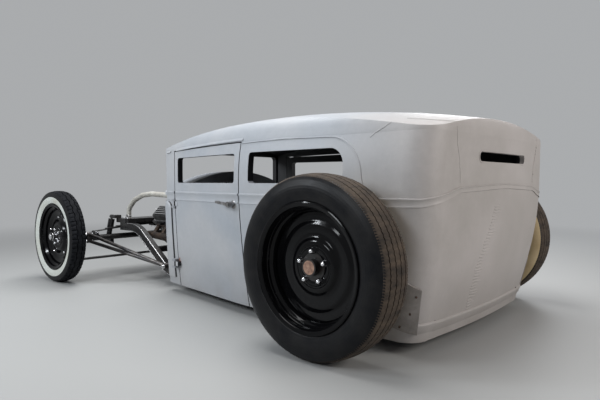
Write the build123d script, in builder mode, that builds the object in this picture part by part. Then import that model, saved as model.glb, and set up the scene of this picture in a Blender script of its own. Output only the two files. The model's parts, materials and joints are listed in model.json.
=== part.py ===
"""Chopped and channelled two-door sedan street rod, bare chassis at the front.

Millimetres. +X forward, +Y left, +Z up. The origin is on the floor, under the
centre of the whole car. Distances called ahead are measured forward from the
rear axle; the function at() turns them into X.
"""
import os
from collections import namedtuple
from math import cos, radians, sin, sqrt

from build123d import *

os.makedirs("parts", exist_ok=True)

# Driving dimensions of the whole car
WHEELBASE = 2630
REAR_TYRE_RADIUS = 406
REAR_TYRE_HALF_WIDTH = 101
REAR_WHEEL_Y = 902
FRONT_TYRE_RADIUS = 351
FRONT_TYRE_HALF_WIDTH = 59
FRONT_WHEEL_Y = 889
REAR_OVERHANG = 474
REAR_AXLE_X = REAR_OVERHANG - (REAR_OVERHANG + WHEELBASE + FRONT_TYRE_RADIUS) / 2
REAR_AXLE_Z = REAR_TYRE_RADIUS
FRONT_AXLE_Z = FRONT_TYRE_RADIUS

# Fits
RUNNING_FIT = 0.05
SEAT_GAP = 0.3
DOOR_GAP = 7

# Body shell
BODY_BOTTOM = 60
WALL = 40
ROOF_WALL = 28
B_POST = 737
DOOR_FRONT = 1547
COWL_FRONT = 1715
ROOF_FRONT = 1680
WINDSHIELD_BACK = 1640
BELT = 700
COWL_CROWN = 850
WINDOW_SILL = 765
DRIP_REAR = 985
DRIP_PEAK = 996
DRIP_FRONT = 968
ROOF_TOP = 1177
ROOF_PEAK_AHEAD = 560
ROOF_LONG_RADIUS = 5260
ROOF_CROSS_RADIUS = 2900
ROOF_SEAM = -130
REAR_PANEL_HALF_WIDTH = 520
REAR_CROWN = 40
ROLL_PAN_TOP = 140

BodySection = namedtuple("BodySection", "height half_width cowl_half_width rear_reach corner front")
LOWER_SECTIONS = (
    BodySection(BODY_BOTTOM, 640, 505, 360, 100, COWL_FRONT),
    BodySection(200, 667, 518, 392, 110, COWL_FRONT),
    BodySection(420, 700, 532, 440, 120, COWL_FRONT),
    BodySection(680, 726, 540, 468, 130, COWL_FRONT),
    BodySection(990, 702, 546, 482, 130, COWL_FRONT),
)
SHOULDER_SECTIONS = (
    LOWER_SECTIONS[-1],
    BodySection(1045, 690, 532, 474, 128, COWL_FRONT),
    BodySection(1085, 660, 505, 450, 126, COWL_FRONT),
    BodySection(1108, 620, 470, 415, 124, COWL_FRONT),
    BodySection(1185, 560, 410, 350, 120, COWL_FRONT),
)

# Frame, floor and chassis
RAIL_Y = 380
RAIL_WIDTH = 46
RAIL_HEIGHT = 60
RAIL_LOW = 98
RAIL_OVER_FRONT_AXLE = 49
RAIL_OVER_REAR_AXLE = 102
RAIL_FRONT_Z = FRONT_AXLE_Z + RAIL_OVER_FRONT_AXLE
RAIL_REAR_Z = REAR_AXLE_Z + RAIL_OVER_REAR_AXLE
FLOOR_PLATE = 4
DECK_OVER_RAIL = 52
DECK = RAIL_REAR_Z + DECK_OVER_RAIL
FIREWALL_BACK = 1672
FIREWALL_PLATE = 4
ENGINE_FRONT = 2400
ENGINE_BACK = 1790
CRANK_Z = 310


def at(ahead):
    """X of a place given as its distance ahead of the rear axle."""
    return REAR_AXLE_X + ahead


def save(part, name):
    part.label = name
    export_step(part, f"parts/{name}.step")


def body_outline(section, inset):
    """Corners of one plan outline of the body, pulled in by inset."""
    side = section.half_width - inset
    front = section.cowl_half_width - inset
    rear = at(-section.rear_reach + inset)
    return (
        (at(section.front), -front),
        (at(section.front), front),
        (at(B_POST), side),
        (rear + REAR_CROWN, side),
        (rear, 0),
        (rear + REAR_CROWN, -side),
        (at(B_POST), -side),
    )


def draw_body_section(section, inset):
    corner = section.corner - inset * 0.8
    radii = (15, 15, 3300, corner, 5000, corner, 3300)
    with BuildSketch(Plane.XY.offset(section.height)) as sketch:
        with BuildLine():
            FilletPolyline(*body_outline(section, inset), radius=radii, close=True)
        make_face()
    return sketch.sketch


def body_envelope(inset, roof_drop, bottom):
    """The closed outer form of the body, or the hollow inside it."""
    centre = Vector(at(ROOF_PEAK_AHEAD), 0, ROOF_TOP - roof_drop - ROOF_LONG_RADIUS)
    half_turn = 25
    half_span = 1000
    edge = ROOF_LONG_RADIUS - (ROOF_CROSS_RADIUS - sqrt(ROOF_CROSS_RADIUS**2 - half_span**2))
    start = Plane(origin=centre, x_dir=(0, 1, 0), z_dir=(1, 0, 0)).rotated((0, -half_turn, 0))
    lower = [draw_body_section(section, inset) for section in LOWER_SECTIONS]
    shoulder = [draw_body_section(section, inset) for section in SHOULDER_SECTIONS]
    with BuildPart() as envelope:
        loft(sections=lower)
        loft(sections=shoulder)
        if bottom < BODY_BOTTOM:
            extrude(lower[0], amount=bottom - BODY_BOTTOM)
        with BuildSketch(start):
            with BuildLine():
                Polyline((-half_span, edge), (-half_span, 2500), (half_span, 2500), (half_span, edge))
                ThreePointArc((-half_span, edge), (0, ROOF_LONG_RADIUS), (half_span, edge))
            make_face()
        revolve(axis=Axis(centre, (0, 1, 0)), revolution_arc=2 * half_turn, mode=Mode.INTERSECT)
    return envelope.part


def below_drip(drop):
    """Everything lower than the arched drip line that parts the sides from the roof."""
    low = -100
    rear = at(-700)
    front = at(1900)
    with BuildPart() as region:
        with BuildSketch(Plane.XZ):
            with BuildLine():
                rear_end = (rear, DRIP_REAR - drop)
                front_end = (front, DRIP_FRONT - drop)
                Polyline(rear_end, (rear, low), (front, low), front_end)
                ThreePointArc(rear_end, (at(B_POST), DRIP_PEAK - drop), front_end)
            make_face()
        extrude(amount=900, both=True)
    return region.part


def slab(low, high):
    """A plain box given by its lowest and highest corners."""
    size = [b - a for a, b in zip(low, high)]
    middle = [(a + b) / 2 for a, b in zip(low, high)]
    return Pos(*middle) * Box(*size, mode=Mode.PRIVATE)


def between(rear, front, half=900, low=-100, high=1300):
    """A box over the whole car's width between two distances ahead of the rear axle."""
    return slab((at(rear), -half, low), (at(front), half, high))


# Body shell, before it is divided into its panels
WHEEL_OPENING_RADIUS = 150
WINDSHIELD_HALF = 500
WINDSHIELD_TOP = 975
SLOT_HALF_WIDTH = 292
SLOT_HEIGHT = 47
SLOT_Z = 890
COWL_TOP_BACK = 1600
COWL_TOP_WALL = 24
BODY_REAR = -700
BODY_AHEAD = 1900

Window = namedtuple("Window", "rear front low high rear_top_radius radius")
WINDOWS = (
    Window(782, 1497, WINDOW_SILL, 930, 22, 18),
    Window(2, 654, WINDOW_SILL, 932, 85, 20),
)


def cowl_crown(drop):
    """Everything under the arched top of the cowl."""
    half = 620
    edge = BELT - 45 - drop
    with BuildPart() as region:
        with BuildSketch(Plane.YZ.offset(at(COWL_TOP_BACK))):
            with BuildLine():
                Polyline((-half, edge), (-half, 0), (half, 0), (half, edge))
                ThreePointArc((-half, edge), (0, COWL_CROWN - drop), (half, edge))
            make_face()
        extrude(amount=COWL_FRONT - COWL_TOP_BACK)
    return region.part


outer_form = body_envelope(0, 0, BODY_BOTTOM)
inner_form = body_envelope(WALL, ROOF_WALL, 0)
sides_region = below_drip(0)
door_region = below_drip(DOOR_GAP)

with BuildPart() as hollow:
    add(inner_form)
    add(between(WINDSHIELD_BACK, BODY_AHEAD, low=BELT - 20), mode=Mode.SUBTRACT)
    add(between(WINDSHIELD_BACK - 60, BODY_AHEAD, half=460, low=0, high=BELT - 20))

with BuildPart() as body_shell:
    add(outer_form)
    add(hollow.part, mode=Mode.SUBTRACT)
    add(between(ROOF_FRONT, BODY_AHEAD, low=BELT - 60), mode=Mode.SUBTRACT)
    with BuildSketch(Plane.XZ):
        for window in WINDOWS:
            with BuildLine():
                FilletPolyline(
                    (at(window.rear), window.low),
                    (at(window.front), window.low),
                    (at(window.front), window.high),
                    (at(window.rear), window.high),
                    radius=(window.radius, window.radius, window.radius, window.rear_top_radius),
                    close=True,
                )
            make_face()
        with Locations((at(0), REAR_AXLE_Z)):
            Circle(WHEEL_OPENING_RADIUS)
        with Locations((at(0), REAR_AXLE_Z / 2)):
            Rectangle(WHEEL_OPENING_RADIUS * 2, REAR_AXLE_Z)
    extrude(amount=900, both=True, mode=Mode.SUBTRACT)
    with BuildSketch(Plane.YZ.offset(at(BODY_REAR))):
        with Locations((0, SLOT_Z)):
            SlotOverall(SLOT_HALF_WIDTH * 2, SLOT_HEIGHT)
    extrude(amount=400, mode=Mode.SUBTRACT)
    with BuildSketch(Plane.YZ.offset(at(WINDSHIELD_BACK) - 20)):
        with Locations((0, (BELT + WINDSHIELD_TOP) / 2)):
            RectangleRounded(WINDSHIELD_HALF * 2, WINDSHIELD_TOP - BELT, 30)
    extrude(amount=200, mode=Mode.SUBTRACT)

# Roof panel, down to the drip line and back to the welded seam
with BuildPart() as roof_panel:
    add(body_shell.part)
    add(sides_region, mode=Mode.SUBTRACT)
    add(between(BODY_REAR, ROOF_SEAM), mode=Mode.SUBTRACT)
save(roof_panel.part, "roof_panel")

# Rear panel between the two corner seams, with the slot window
rear_region = between(BODY_REAR, ROOF_SEAM, half=REAR_PANEL_HALF_WIDTH, low=ROLL_PAN_TOP)
with BuildPart() as rear_panel:
    add(body_shell.part)
    add(rear_region, mode=Mode.INTERSECT)
save(rear_panel.part, "rear_panel")

# Rear roll pan, the turned lip along the foot of the body
ROLL_PAN_FRONT = -230
roll_pan_region = between(BODY_REAR, ROLL_PAN_FRONT, high=ROLL_PAN_TOP)
with BuildPart() as rear_roll_pan:
    add(body_shell.part)
    add(roll_pan_region, mode=Mode.INTERSECT)
save(rear_roll_pan.part, "rear_roll_pan")

# Quarter panels: the sides behind the doors, round the rear corners
QUARTER_FRONT = B_POST - DOOR_GAP / 2
left_half = slab((at(BODY_REAR), 0, -100), (at(BODY_AHEAD), 900, 1300))
with BuildPart() as left_quarter_panel:
    add(body_shell.part)
    add(left_half, mode=Mode.INTERSECT)
    add(between(QUARTER_FRONT, BODY_AHEAD), mode=Mode.SUBTRACT)
    add(rear_region, mode=Mode.SUBTRACT)
    add(roll_pan_region, mode=Mode.SUBTRACT)
    add(roof_panel.part, mode=Mode.SUBTRACT)
save(left_quarter_panel.part, "left_quarter_panel")
save(mirror(left_quarter_panel.part, about=Plane.XZ), "right_quarter_panel")

# Door hinges: a pin in two lugs on the cowl, and an eye on the door between them
HINGE_X = at(DOOR_FRONT)
HINGE_Y = 578
HINGE_HEIGHTS = (215, 625)
HINGE_PIN_RADIUS = 5
HINGE_BARREL_RADIUS = 9
HINGE_NOTCH = 4
HINGE_EYE_HALF = 15
HINGE_LUG = 14
HINGE_LEAF = 34
HINGE_LUG_LOW = HINGE_EYE_HALF + 1
HINGE_LUG_HIGH = HINGE_LUG_LOW + HINGE_LUG


def hinge_cylinder(radius, low, high):
    with BuildPart() as cylinder:
        with BuildSketch(Plane.XY.offset(low)):
            with Locations((HINGE_X, HINGE_Y)):
                Circle(radius)
        extrude(amount=high - low)
    return cylinder.part


def hinge_barrel(low, high, leaf_end):
    """One length of hinge barrel with its leaf, laid on the body's outer face."""
    x_low, x_high = sorted((HINGE_X, HINGE_X + leaf_end))
    leaf = slab((x_low, HINGE_Y - 60, low), (x_high, HINGE_Y, high)) - outer_form
    return leaf + hinge_cylinder(HINGE_BARREL_RADIUS, low, high)


notches = [hinge_cylinder(HINGE_BARREL_RADIUS + HINGE_NOTCH, z - 36, z + 36) for z in HINGE_HEIGHTS]
eyes = [hinge_barrel(z - HINGE_EYE_HALF, z + HINGE_EYE_HALF, -HINGE_LEAF) for z in HINGE_HEIGHTS]
bores = [hinge_cylinder(HINGE_PIN_RADIUS + RUNNING_FIT, z - 20, z + 20) for z in HINGE_HEIGHTS]
lugs = [hinge_barrel(z + HINGE_LUG_LOW, z + HINGE_LUG_HIGH, HINGE_LEAF) for z in HINGE_HEIGHTS]
lugs += [hinge_barrel(z - HINGE_LUG_HIGH, z - HINGE_LUG_LOW, HINGE_LEAF) for z in HINGE_HEIGHTS]
lugs += [hinge_cylinder(HINGE_PIN_RADIUS, z - HINGE_LUG_HIGH, z + HINGE_LUG_HIGH) for z in HINGE_HEIGHTS]

# Doors: the whole thickness of the side, from the sill to the drip line
with BuildPart() as left_door:
    add(body_shell.part)
    add(left_half, mode=Mode.INTERSECT)
    add(between(B_POST + DOOR_GAP / 2, DOOR_FRONT - DOOR_GAP / 2), mode=Mode.INTERSECT)
    add(door_region, mode=Mode.INTERSECT)
    add(notches, mode=Mode.SUBTRACT)
    add(eyes)
    add(bores, mode=Mode.SUBTRACT)
save(left_door.part, "left_door")
save(mirror(left_door.part, about=Plane.XZ), "right_door")

# Cowl: the sides ahead of the doors, the windshield posts and the arched top
cowl_top = (outer_form & cowl_crown(0)) - cowl_crown(COWL_TOP_WALL)
cowl_top = cowl_top & between(COWL_TOP_BACK, COWL_FRONT, low=BELT - 90)
cowl_wall = outer_form & cowl_crown(COWL_TOP_WALL / 2) & between(WINDSHIELD_BACK, ROOF_FRONT, low=BELT - 10)
far_notches = [mirror(notch, about=Plane.XZ) for notch in notches]
with BuildPart() as cowl:
    add(body_shell.part)
    add(between(DOOR_FRONT + DOOR_GAP / 2, BODY_AHEAD), mode=Mode.INTERSECT)
    add(sides_region, mode=Mode.INTERSECT)
    add(cowl_top)
    add(cowl_wall)
    add(notches, mode=Mode.SUBTRACT)
    add(far_notches, mode=Mode.SUBTRACT)
save(cowl.part, "cowl")

# Door hinge lugs and pins, both doors
with BuildPart() as door_hinges:
    add(lugs)
    mirror(about=Plane.XZ)
save(door_hinges.part, "door_hinges")

# Door handles: a lever on a round boss at the rear of each door
HANDLE_X = at(790)
HANDLE_Z = 645
with BuildPart() as left_door_handle:
    with BuildSketch(Plane.XZ.offset(-700)):
        with Locations((HANDLE_X, HANDLE_Z)):
            Circle(16)
    extrude(amount=-50)
    with BuildSketch(Plane.XZ.offset(-740)):
        with BuildLine():
            FilletPolyline(
                (HANDLE_X - 12, HANDLE_Z - 9),
                (HANDLE_X + 100, HANDLE_Z + 6),
                (HANDLE_X + 100, HANDLE_Z + 20),
                (HANDLE_X - 12, HANDLE_Z + 9),
                radius=5,
                close=True,
            )
        make_face()
    extrude(amount=-16)
    add(outer_form, mode=Mode.SUBTRACT)
save(left_door_handle.part, "left_door_handle")
save(mirror(left_door_handle.part, about=Plane.XZ), "right_door_handle")


def along(start, end):
    """A plane at the start with its normal towards the end."""
    return Plane(origin=Vector(*start), z_dir=Vector(*end) - Vector(*start))


def rod(start, end, radius):
    """A plain round rod between two points, kept out of the open builder."""
    length = (Vector(*end) - Vector(*start)).length
    foot = (Align.CENTER, Align.CENTER, Align.MIN)
    return along(start, end) * Cylinder(radius, length, align=foot, mode=Mode.PRIVATE)


def cone(start, end, start_radius, end_radius):
    length = (Vector(*end) - Vector(*start)).length
    foot = (Align.CENTER, Align.CENTER, Align.MIN)
    return along(start, end) * Cone(start_radius, end_radius, length, align=foot, mode=Mode.PRIVATE)


def ball(place, radius):
    return Pos(*place) * Sphere(radius, mode=Mode.PRIVATE)


def across(x, y, z, radius, length):
    """A round bar along Y, centred on the point given."""
    bar = Cylinder(radius, length, rotation=(90, 0, 0), mode=Mode.PRIVATE)
    return Pos(x, y, z) * bar


def upright(x, y, low, high, radius):
    return rod((x, y, low), (x, y, high), radius)


def bent_tube(route, bend, radius):
    """A round tube along straight runs joined by arcs, with flat ends."""
    with BuildPart() as tube:
        with BuildLine():
            FilletPolyline(*route, radius=bend)
        with BuildSketch(along(route[0], route[1])):
            Circle(radius)
        sweep()
    return tube.part


# Frame rails: straight under the floor, swept up ahead of the cowl and over the rear axle
RAIL_FRONT = WHEELBASE - 45
RAIL_SWEEP_TOP = WHEELBASE - 300
RAIL_SWEEP_FOOT = 1900
RAIL_KICK_FOOT = 385
RAIL_KICK_TOP = 215
RAIL_REAR_REACH = 425
RAIL_REAR = WALL - RAIL_REAR_REACH
CROSSMEMBER_PLATE = 35
CROSSMEMBER_BACK = WHEELBASE - 150
CROSSMEMBER_FRONT = WHEELBASE + 35
CROSSMEMBER_CORNER = 24
CROSS_TUBE_RADIUS = 22
REAR_CROSS_TUBE = -350
RADIATOR_BOLT_RADIUS = 5.5
RADIATOR_BOLT_SPACING = 460
RADIATOR_BOLT_BACK = 70
with BuildPart() as frame_rails:
    with BuildSketch(Plane.XZ.offset(-RAIL_Y - RAIL_WIDTH / 2)):
        with BuildLine() as rail_line:
            FilletPolyline(
                (at(RAIL_REAR), RAIL_REAR_Z),
                (at(RAIL_KICK_TOP), RAIL_REAR_Z),
                (at(RAIL_KICK_FOOT), RAIL_LOW),
                (at(RAIL_SWEEP_FOOT), RAIL_LOW),
                (at(RAIL_SWEEP_TOP), RAIL_FRONT_Z),
                (at(RAIL_FRONT), RAIL_FRONT_Z),
                radius=(80, 80, 260, 260),
            )
        trace(line_width=RAIL_HEIGHT)
    extrude(amount=RAIL_WIDTH)
    mirror(about=Plane.XZ)
    crossmember_low = RAIL_FRONT_Z + RAIL_HEIGHT / 2
    rail_outside = RAIL_Y + RAIL_WIDTH / 2
    crossmember_top = crossmember_low + CROSSMEMBER_PLATE
    with BuildSketch(Plane.XY.offset(crossmember_low)):
        with Locations((at((CROSSMEMBER_BACK + CROSSMEMBER_FRONT) / 2), 0)):
            RectangleRounded(CROSSMEMBER_FRONT - CROSSMEMBER_BACK, rail_outside * 2, CROSSMEMBER_CORNER)
    extrude(amount=CROSSMEMBER_PLATE)
    for ahead, height in ((1500, RAIL_LOW), (640, RAIL_LOW), (REAR_CROSS_TUBE, RAIL_REAR_Z)):
        add(across(at(ahead), 0, height, CROSS_TUBE_RADIUS, RAIL_Y * 2))
    bolt_x = at(CROSSMEMBER_FRONT - RADIATOR_BOLT_BACK)
    for y in (-RADIATOR_BOLT_SPACING / 2, RADIATOR_BOLT_SPACING / 2):
        bolt_hole = upright(bolt_x, y, crossmember_low, crossmember_top, RADIATOR_BOLT_RADIUS)
        add(bolt_hole, mode=Mode.SUBTRACT)
save(frame_rails.part, "frame_rails")

# Floor pan: flat over the rails, up a riser behind the seats, flat over the axle
TUNNEL_RADIUS = 112
TUNNEL_BELOW_REAR_AXLE = 121
TUNNEL_Z = REAR_AXLE_Z - TUNNEL_BELOW_REAR_AXLE
RISER_FOOT = 440
TUNNEL_BACK = RISER_FOOT - 12
RISER_TOP = 400
rail_top = RAIL_LOW + RAIL_HEIGHT / 2
door_zone = between(QUARTER_FRONT - 3, DOOR_FRONT + DOOR_GAP)
door_inner_form = body_envelope(WALL + 10, ROOF_WALL, 0)
floor_limit = (inner_form - door_zone) + (inner_form & door_zone & door_inner_form)
with BuildPart() as floor_pan:
    with BuildSketch(Plane.XZ):
        with BuildLine():
            Polyline(
                (at(COWL_FRONT), rail_top + FLOOR_PLATE / 2),
                (at(RISER_FOOT), rail_top + FLOOR_PLATE / 2),
                (at(RISER_TOP), DECK),
                (at(BODY_REAR), DECK),
            )
        trace(line_width=FLOOR_PLATE)
    extrude(amount=900, both=True)
    tunnel_inside = TUNNEL_RADIUS - FLOOR_PLATE
    add(between(TUNNEL_BACK - 60, BODY_AHEAD, half=tunnel_inside, high=TUNNEL_Z), mode=Mode.SUBTRACT)
    tunnel_line = (at(TUNNEL_BACK - 60), 0, TUNNEL_Z), (at(BODY_AHEAD), 0, TUNNEL_Z)
    add(rod(*tunnel_line, tunnel_inside), mode=Mode.SUBTRACT)
    with BuildSketch(Plane.YZ.offset(at(TUNNEL_BACK))):
        with Locations((0, TUNNEL_Z)):
            Circle(TUNNEL_RADIUS)
        with Locations((0, (TUNNEL_Z + rail_top) / 2)):
            Rectangle(TUNNEL_RADIUS * 2, TUNNEL_Z - rail_top)
        with Locations((0, TUNNEL_Z)):
            Circle(tunnel_inside, mode=Mode.SUBTRACT)
        with Locations((0, (TUNNEL_Z + rail_top) / 2 - 5)):
            Rectangle(tunnel_inside * 2, TUNNEL_Z - rail_top + 10, mode=Mode.SUBTRACT)
    extrude(amount=FIREWALL_BACK - TUNNEL_BACK)
    add(floor_limit, mode=Mode.INTERSECT)
    add(between(FIREWALL_BACK, BODY_AHEAD), mode=Mode.SUBTRACT)
save(floor_pan.part, "floor_pan")

# Dashboard: a shallow arched box under the windshield
DASH_BACK = 1545
DASH_DROP = 110
dash_form = door_inner_form & between(DASH_BACK, COWL_TOP_BACK, low=0)
with BuildPart() as dashboard:
    with BuildSketch(Plane.YZ.offset(at(DASH_BACK))):
        half = 620
        edge = BELT - 45
        with BuildLine():
            Polyline((-half, edge), (-half, edge - DASH_DROP), (half, edge - DASH_DROP), (half, edge))
            ThreePointArc((-half, edge), (0, COWL_CROWN), (half, edge))
        make_face()
    extrude(amount=COWL_TOP_BACK - DASH_BACK)
    add(dash_form, mode=Mode.INTERSECT)
save(dashboard.part, "dashboard")

# Seats: two bucket shells bent from sheet, with side wings and four feet each
SEAT_Y = 345
SEAT_HALF = 205
SEAT_BACK_AHEAD = 520
SEAT_FRONT_AHEAD = 960
SEAT_BACK_Z = 250
SEAT_FRONT_Z = 290
SEAT_TOP_Z = 700
SEAT_LEAN = 70
SEAT_SHEET = 6
seat_slope = (SEAT_FRONT_Z - SEAT_BACK_Z) / (SEAT_FRONT_AHEAD - SEAT_BACK_AHEAD)
with BuildPart() as seats:
    with BuildSketch(Plane.XZ.offset(-SEAT_Y - SEAT_HALF)):
        with BuildLine():
            FilletPolyline(
                (at(SEAT_BACK_AHEAD - SEAT_LEAN), SEAT_TOP_Z),
                (at(SEAT_BACK_AHEAD), SEAT_BACK_Z),
                (at(SEAT_FRONT_AHEAD), SEAT_FRONT_Z),
                radius=90,
            )
        trace(line_width=SEAT_SHEET)
    extrude(amount=SEAT_HALF * 2)
    for edge in (SEAT_Y + SEAT_HALF, SEAT_Y - SEAT_HALF + SEAT_SHEET):
        with BuildSketch(Plane.XZ.offset(-edge)):
            with BuildLine():
                FilletPolyline(
                    (at(SEAT_BACK_AHEAD - SEAT_LEAN * 0.75), SEAT_TOP_Z - 110),
                    (at(SEAT_BACK_AHEAD + 8), SEAT_BACK_Z),
                    (at(SEAT_FRONT_AHEAD - 40), SEAT_FRONT_Z - 40 * seat_slope),
                    (at(SEAT_FRONT_AHEAD - 120), SEAT_FRONT_Z + 110),
                    (at(SEAT_BACK_AHEAD + 120), SEAT_FRONT_Z + 140),
                    radius=30,
                    close=True,
                )
            make_face()
        extrude(amount=SEAT_SHEET)
    for ahead in (640, 860):
        head = SEAT_BACK_Z + (ahead - SEAT_BACK_AHEAD) * seat_slope
        for offset in (-150, 150):
            foot = (at(ahead) - 15, SEAT_Y + offset - 15, rail_top + FLOOR_PLATE)
            add(slab(foot, (at(ahead) + 15, SEAT_Y + offset + 15, head)))
    mirror(about=Plane.XZ)
save(seats.part, "seats")

# Steering: column through the firewall, wheel on its end, left of the tunnel
COLUMN_Y = 290
COLUMN_TOP = (at(1290), COLUMN_Y, 590)
COLUMN_FOOT = (at(1760), COLUMN_Y, 345)
COLUMN_RADIUS = 20
STEERING_SHAFT_RADIUS = 9
STEERING_WHEEL_RADIUS = 172
STEERING_RIM_RADIUS = 12
column_top = Vector(*COLUMN_TOP)
column_axis = (column_top - Vector(*COLUMN_FOOT)).normalized()
with BuildPart() as steering_column:
    add(rod(COLUMN_FOOT, COLUMN_TOP, COLUMN_RADIUS))
    add(rod(COLUMN_TOP, tuple(column_top + column_axis * 60), STEERING_SHAFT_RADIUS))
    add(slab((at(1735), COLUMN_Y - 45, 290), (at(1825), COLUMN_Y + 45, 380)))
    add(slab((at(1745), COLUMN_Y + 10, rail_top - 25), (at(1815), RAIL_Y - RAIL_WIDTH / 2, 300)))
save(steering_column.part, "steering_column")

wheel_plane = Plane(origin=column_top + column_axis * 40, z_dir=column_axis)
with BuildPart() as steering_wheel:
    with BuildSketch(Plane.XZ):
        with Locations((STEERING_WHEEL_RADIUS, 0)):
            Circle(STEERING_RIM_RADIUS)
    revolve(axis=Axis.Z)
    with BuildSketch(Plane.XY.offset(-15)):
        Circle(30)
    extrude(amount=30)
    with BuildSketch(Plane.XY.offset(-3)):
        with PolarLocations(STEERING_WHEEL_RADIUS / 2, 3, 90):
            Rectangle(STEERING_WHEEL_RADIUS, 26)
        Circle(28)
    extrude(amount=6)
    with BuildSketch(Plane.XY.offset(-20)):
        Circle(STEERING_SHAFT_RADIUS + RUNNING_FIT)
    extrude(amount=60, mode=Mode.SUBTRACT)
steering_wheel_placed = wheel_plane * steering_wheel.part
save(steering_wheel_placed, "steering_wheel")

# Firewall: a flat plate closing the cowl, open at the tunnel
firewall_form = outer_form & between(FIREWALL_BACK, FIREWALL_BACK + FIREWALL_PLATE, low=rail_top)
firewall_form = (firewall_form & cowl_crown(COWL_TOP_WALL)) - cowl.part
with BuildPart() as firewall:
    add(firewall_form)
    with BuildSketch(Plane.YZ.offset(at(FIREWALL_BACK) - 20)):
        with Locations((0, TUNNEL_Z)):
            Circle(TUNNEL_RADIUS)
        with Locations((0, TUNNEL_Z / 2)):
            Rectangle(TUNNEL_RADIUS * 2, TUNNEL_Z)
    extrude(amount=60, mode=Mode.SUBTRACT)
    add(rod(COLUMN_FOOT, COLUMN_TOP, COLUMN_RADIUS + SEAT_GAP), mode=Mode.SUBTRACT)
save(firewall.part, "firewall")


# Engine: a V8 block with its two heads, sump, front cover, water pump and crank pulley
BANK_ANGLE = radians(45)
CRANKCASE_HALF = 118
SUMP_RAIL_Z = CRANK_Z - 45
SUMP_LOW = 135
VALLEY_Z = CRANK_Z + 130
HEAD_SEAT = 190
HEAD_OUT = 265
HEAD_HALF = 80
HEAD_LENGTH = 520
PORTS = 4
PORT_PITCH = 115
PORT_OUT = 232
PORT_BOSS = 12
FRONT_COVER = 60
PUMP_Z = CRANK_Z + 140
engine_middle = (ENGINE_BACK + ENGINE_FRONT) / 2


def bank_plane(side, out):
    """Plane square to one cylinder bank; its local x runs forward."""
    outward = Vector(0, side * sin(BANK_ANGLE), cos(BANK_ANGLE))
    return Plane(origin=Vector(at(engine_middle), 0, CRANK_Z) + outward * out, x_dir=(1, 0, 0), z_dir=outward)


def bank_point(out, sideways):
    """(y, z) of a point of the left bank, sideways positive towards the exhaust."""
    y = out * sin(BANK_ANGLE) + sideways * cos(BANK_ANGLE)
    return (y, CRANK_Z + out * cos(BANK_ANGLE) - sideways * sin(BANK_ANGLE))


def pulley(start, radius, rim, groove):
    """Two flanges and the groove between them, along X."""
    x, y, z = start
    front = (x + 2 * rim + groove, y, z)
    flanges = rod(start, (x + rim, y, z), radius) + rod((x + rim + groove, y, z), front, radius)
    return flanges + rod(start, front, radius - groove)


with BuildPart() as engine_block:
    with BuildSketch(Plane.YZ.offset(at(ENGINE_BACK))):
        with BuildLine():
            Polyline(
                (0, SUMP_RAIL_Z),
                (CRANKCASE_HALF, SUMP_RAIL_Z),
                (CRANKCASE_HALF, CRANK_Z + 10),
                bank_point(HEAD_SEAT, HEAD_HALF),
                bank_point(HEAD_SEAT, -HEAD_HALF),
                (0, VALLEY_Z),
            )
            mirror(about=Plane.YZ)
        make_face()
    extrude(amount=ENGINE_FRONT - FRONT_COVER - ENGINE_BACK)
    for side in (1, -1):
        with BuildSketch(bank_plane(side, HEAD_SEAT)):
            RectangleRounded(HEAD_LENGTH, HEAD_HALF * 2, 12)
        extrude(amount=HEAD_OUT - HEAD_SEAT)
        with BuildSketch(bank_plane(side, PORT_OUT - 22)):
            with Locations((0, side * HEAD_HALF)):
                with GridLocations(PORT_PITCH, 0, PORTS, 1):
                    RectangleRounded(58, PORT_BOSS * 2, 5)
        extrude(amount=44)
    with BuildSketch(Plane.XY.offset(SUMP_RAIL_Z)):
        with Locations((at(engine_middle) - 25, 0)):
            RectangleRounded(500, CRANKCASE_HALF * 2 - 10, 20)
    with BuildSketch(Plane.XY.offset(SUMP_LOW)):
        with Locations((at(engine_middle) - 80, 0)):
            RectangleRounded(320, 160, 40)
    loft()
    with BuildSketch(Plane.YZ.offset(at(ENGINE_FRONT - FRONT_COVER))):
        with Locations((0, CRANK_Z)):
            Circle(98)
        with Locations((0, PUMP_Z)):
            Circle(64)
        make_hull()
    extrude(amount=FRONT_COVER - 15)
    add(rod((at(ENGINE_FRONT - 15), 0, PUMP_Z), (at(ENGINE_FRONT) + 12, 0, PUMP_Z), 36))
    add(pulley((at(ENGINE_FRONT) + 12, 0, PUMP_Z), 62, 6, 12))
    add(rod((at(ENGINE_FRONT - 15), 0, CRANK_Z), (at(ENGINE_FRONT) + 12, 0, CRANK_Z), 40))
    add(pulley((at(ENGINE_FRONT) + 10, 0, CRANK_Z), 85, 8, 16))
    for side in (1, -1):
        mount = sorted((side * 110, side * (RAIL_Y - RAIL_WIDTH / 2)))
        add(slab((at(2080), mount[0], 222), (at(2140), mount[1], 262)))
save(engine_block.part, "engine_block")

# Valve covers, tapered and finned, one on each head
COVER_LENGTH = 480
COVER_WIDTH = 126
COVER_HEIGHT = 54
COVER_FINS = 5
FIN_PITCH = 20
FIN_THICK = 7
FIN_HEIGHT = 12
with BuildPart() as valve_covers:
    for side in (1, -1):
        with BuildSketch(bank_plane(side, HEAD_OUT)):
            RectangleRounded(COVER_LENGTH, COVER_WIDTH, 22)
        extrude(amount=COVER_HEIGHT, taper=7)
        top_rim = faces().sort_by(Axis((0, 0, 0), (0, side * sin(BANK_ANGLE), cos(BANK_ANGLE))))[-1]
        fillet(top_rim.edges(), 8)
        with BuildSketch(bank_plane(side, HEAD_OUT + COVER_HEIGHT - 2)):
            with GridLocations(0, FIN_PITCH, 1, COVER_FINS):
                SlotOverall(COVER_LENGTH - 70, FIN_THICK)
        extrude(amount=FIN_HEIGHT)
save(valve_covers.part, "valve_covers")

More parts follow.
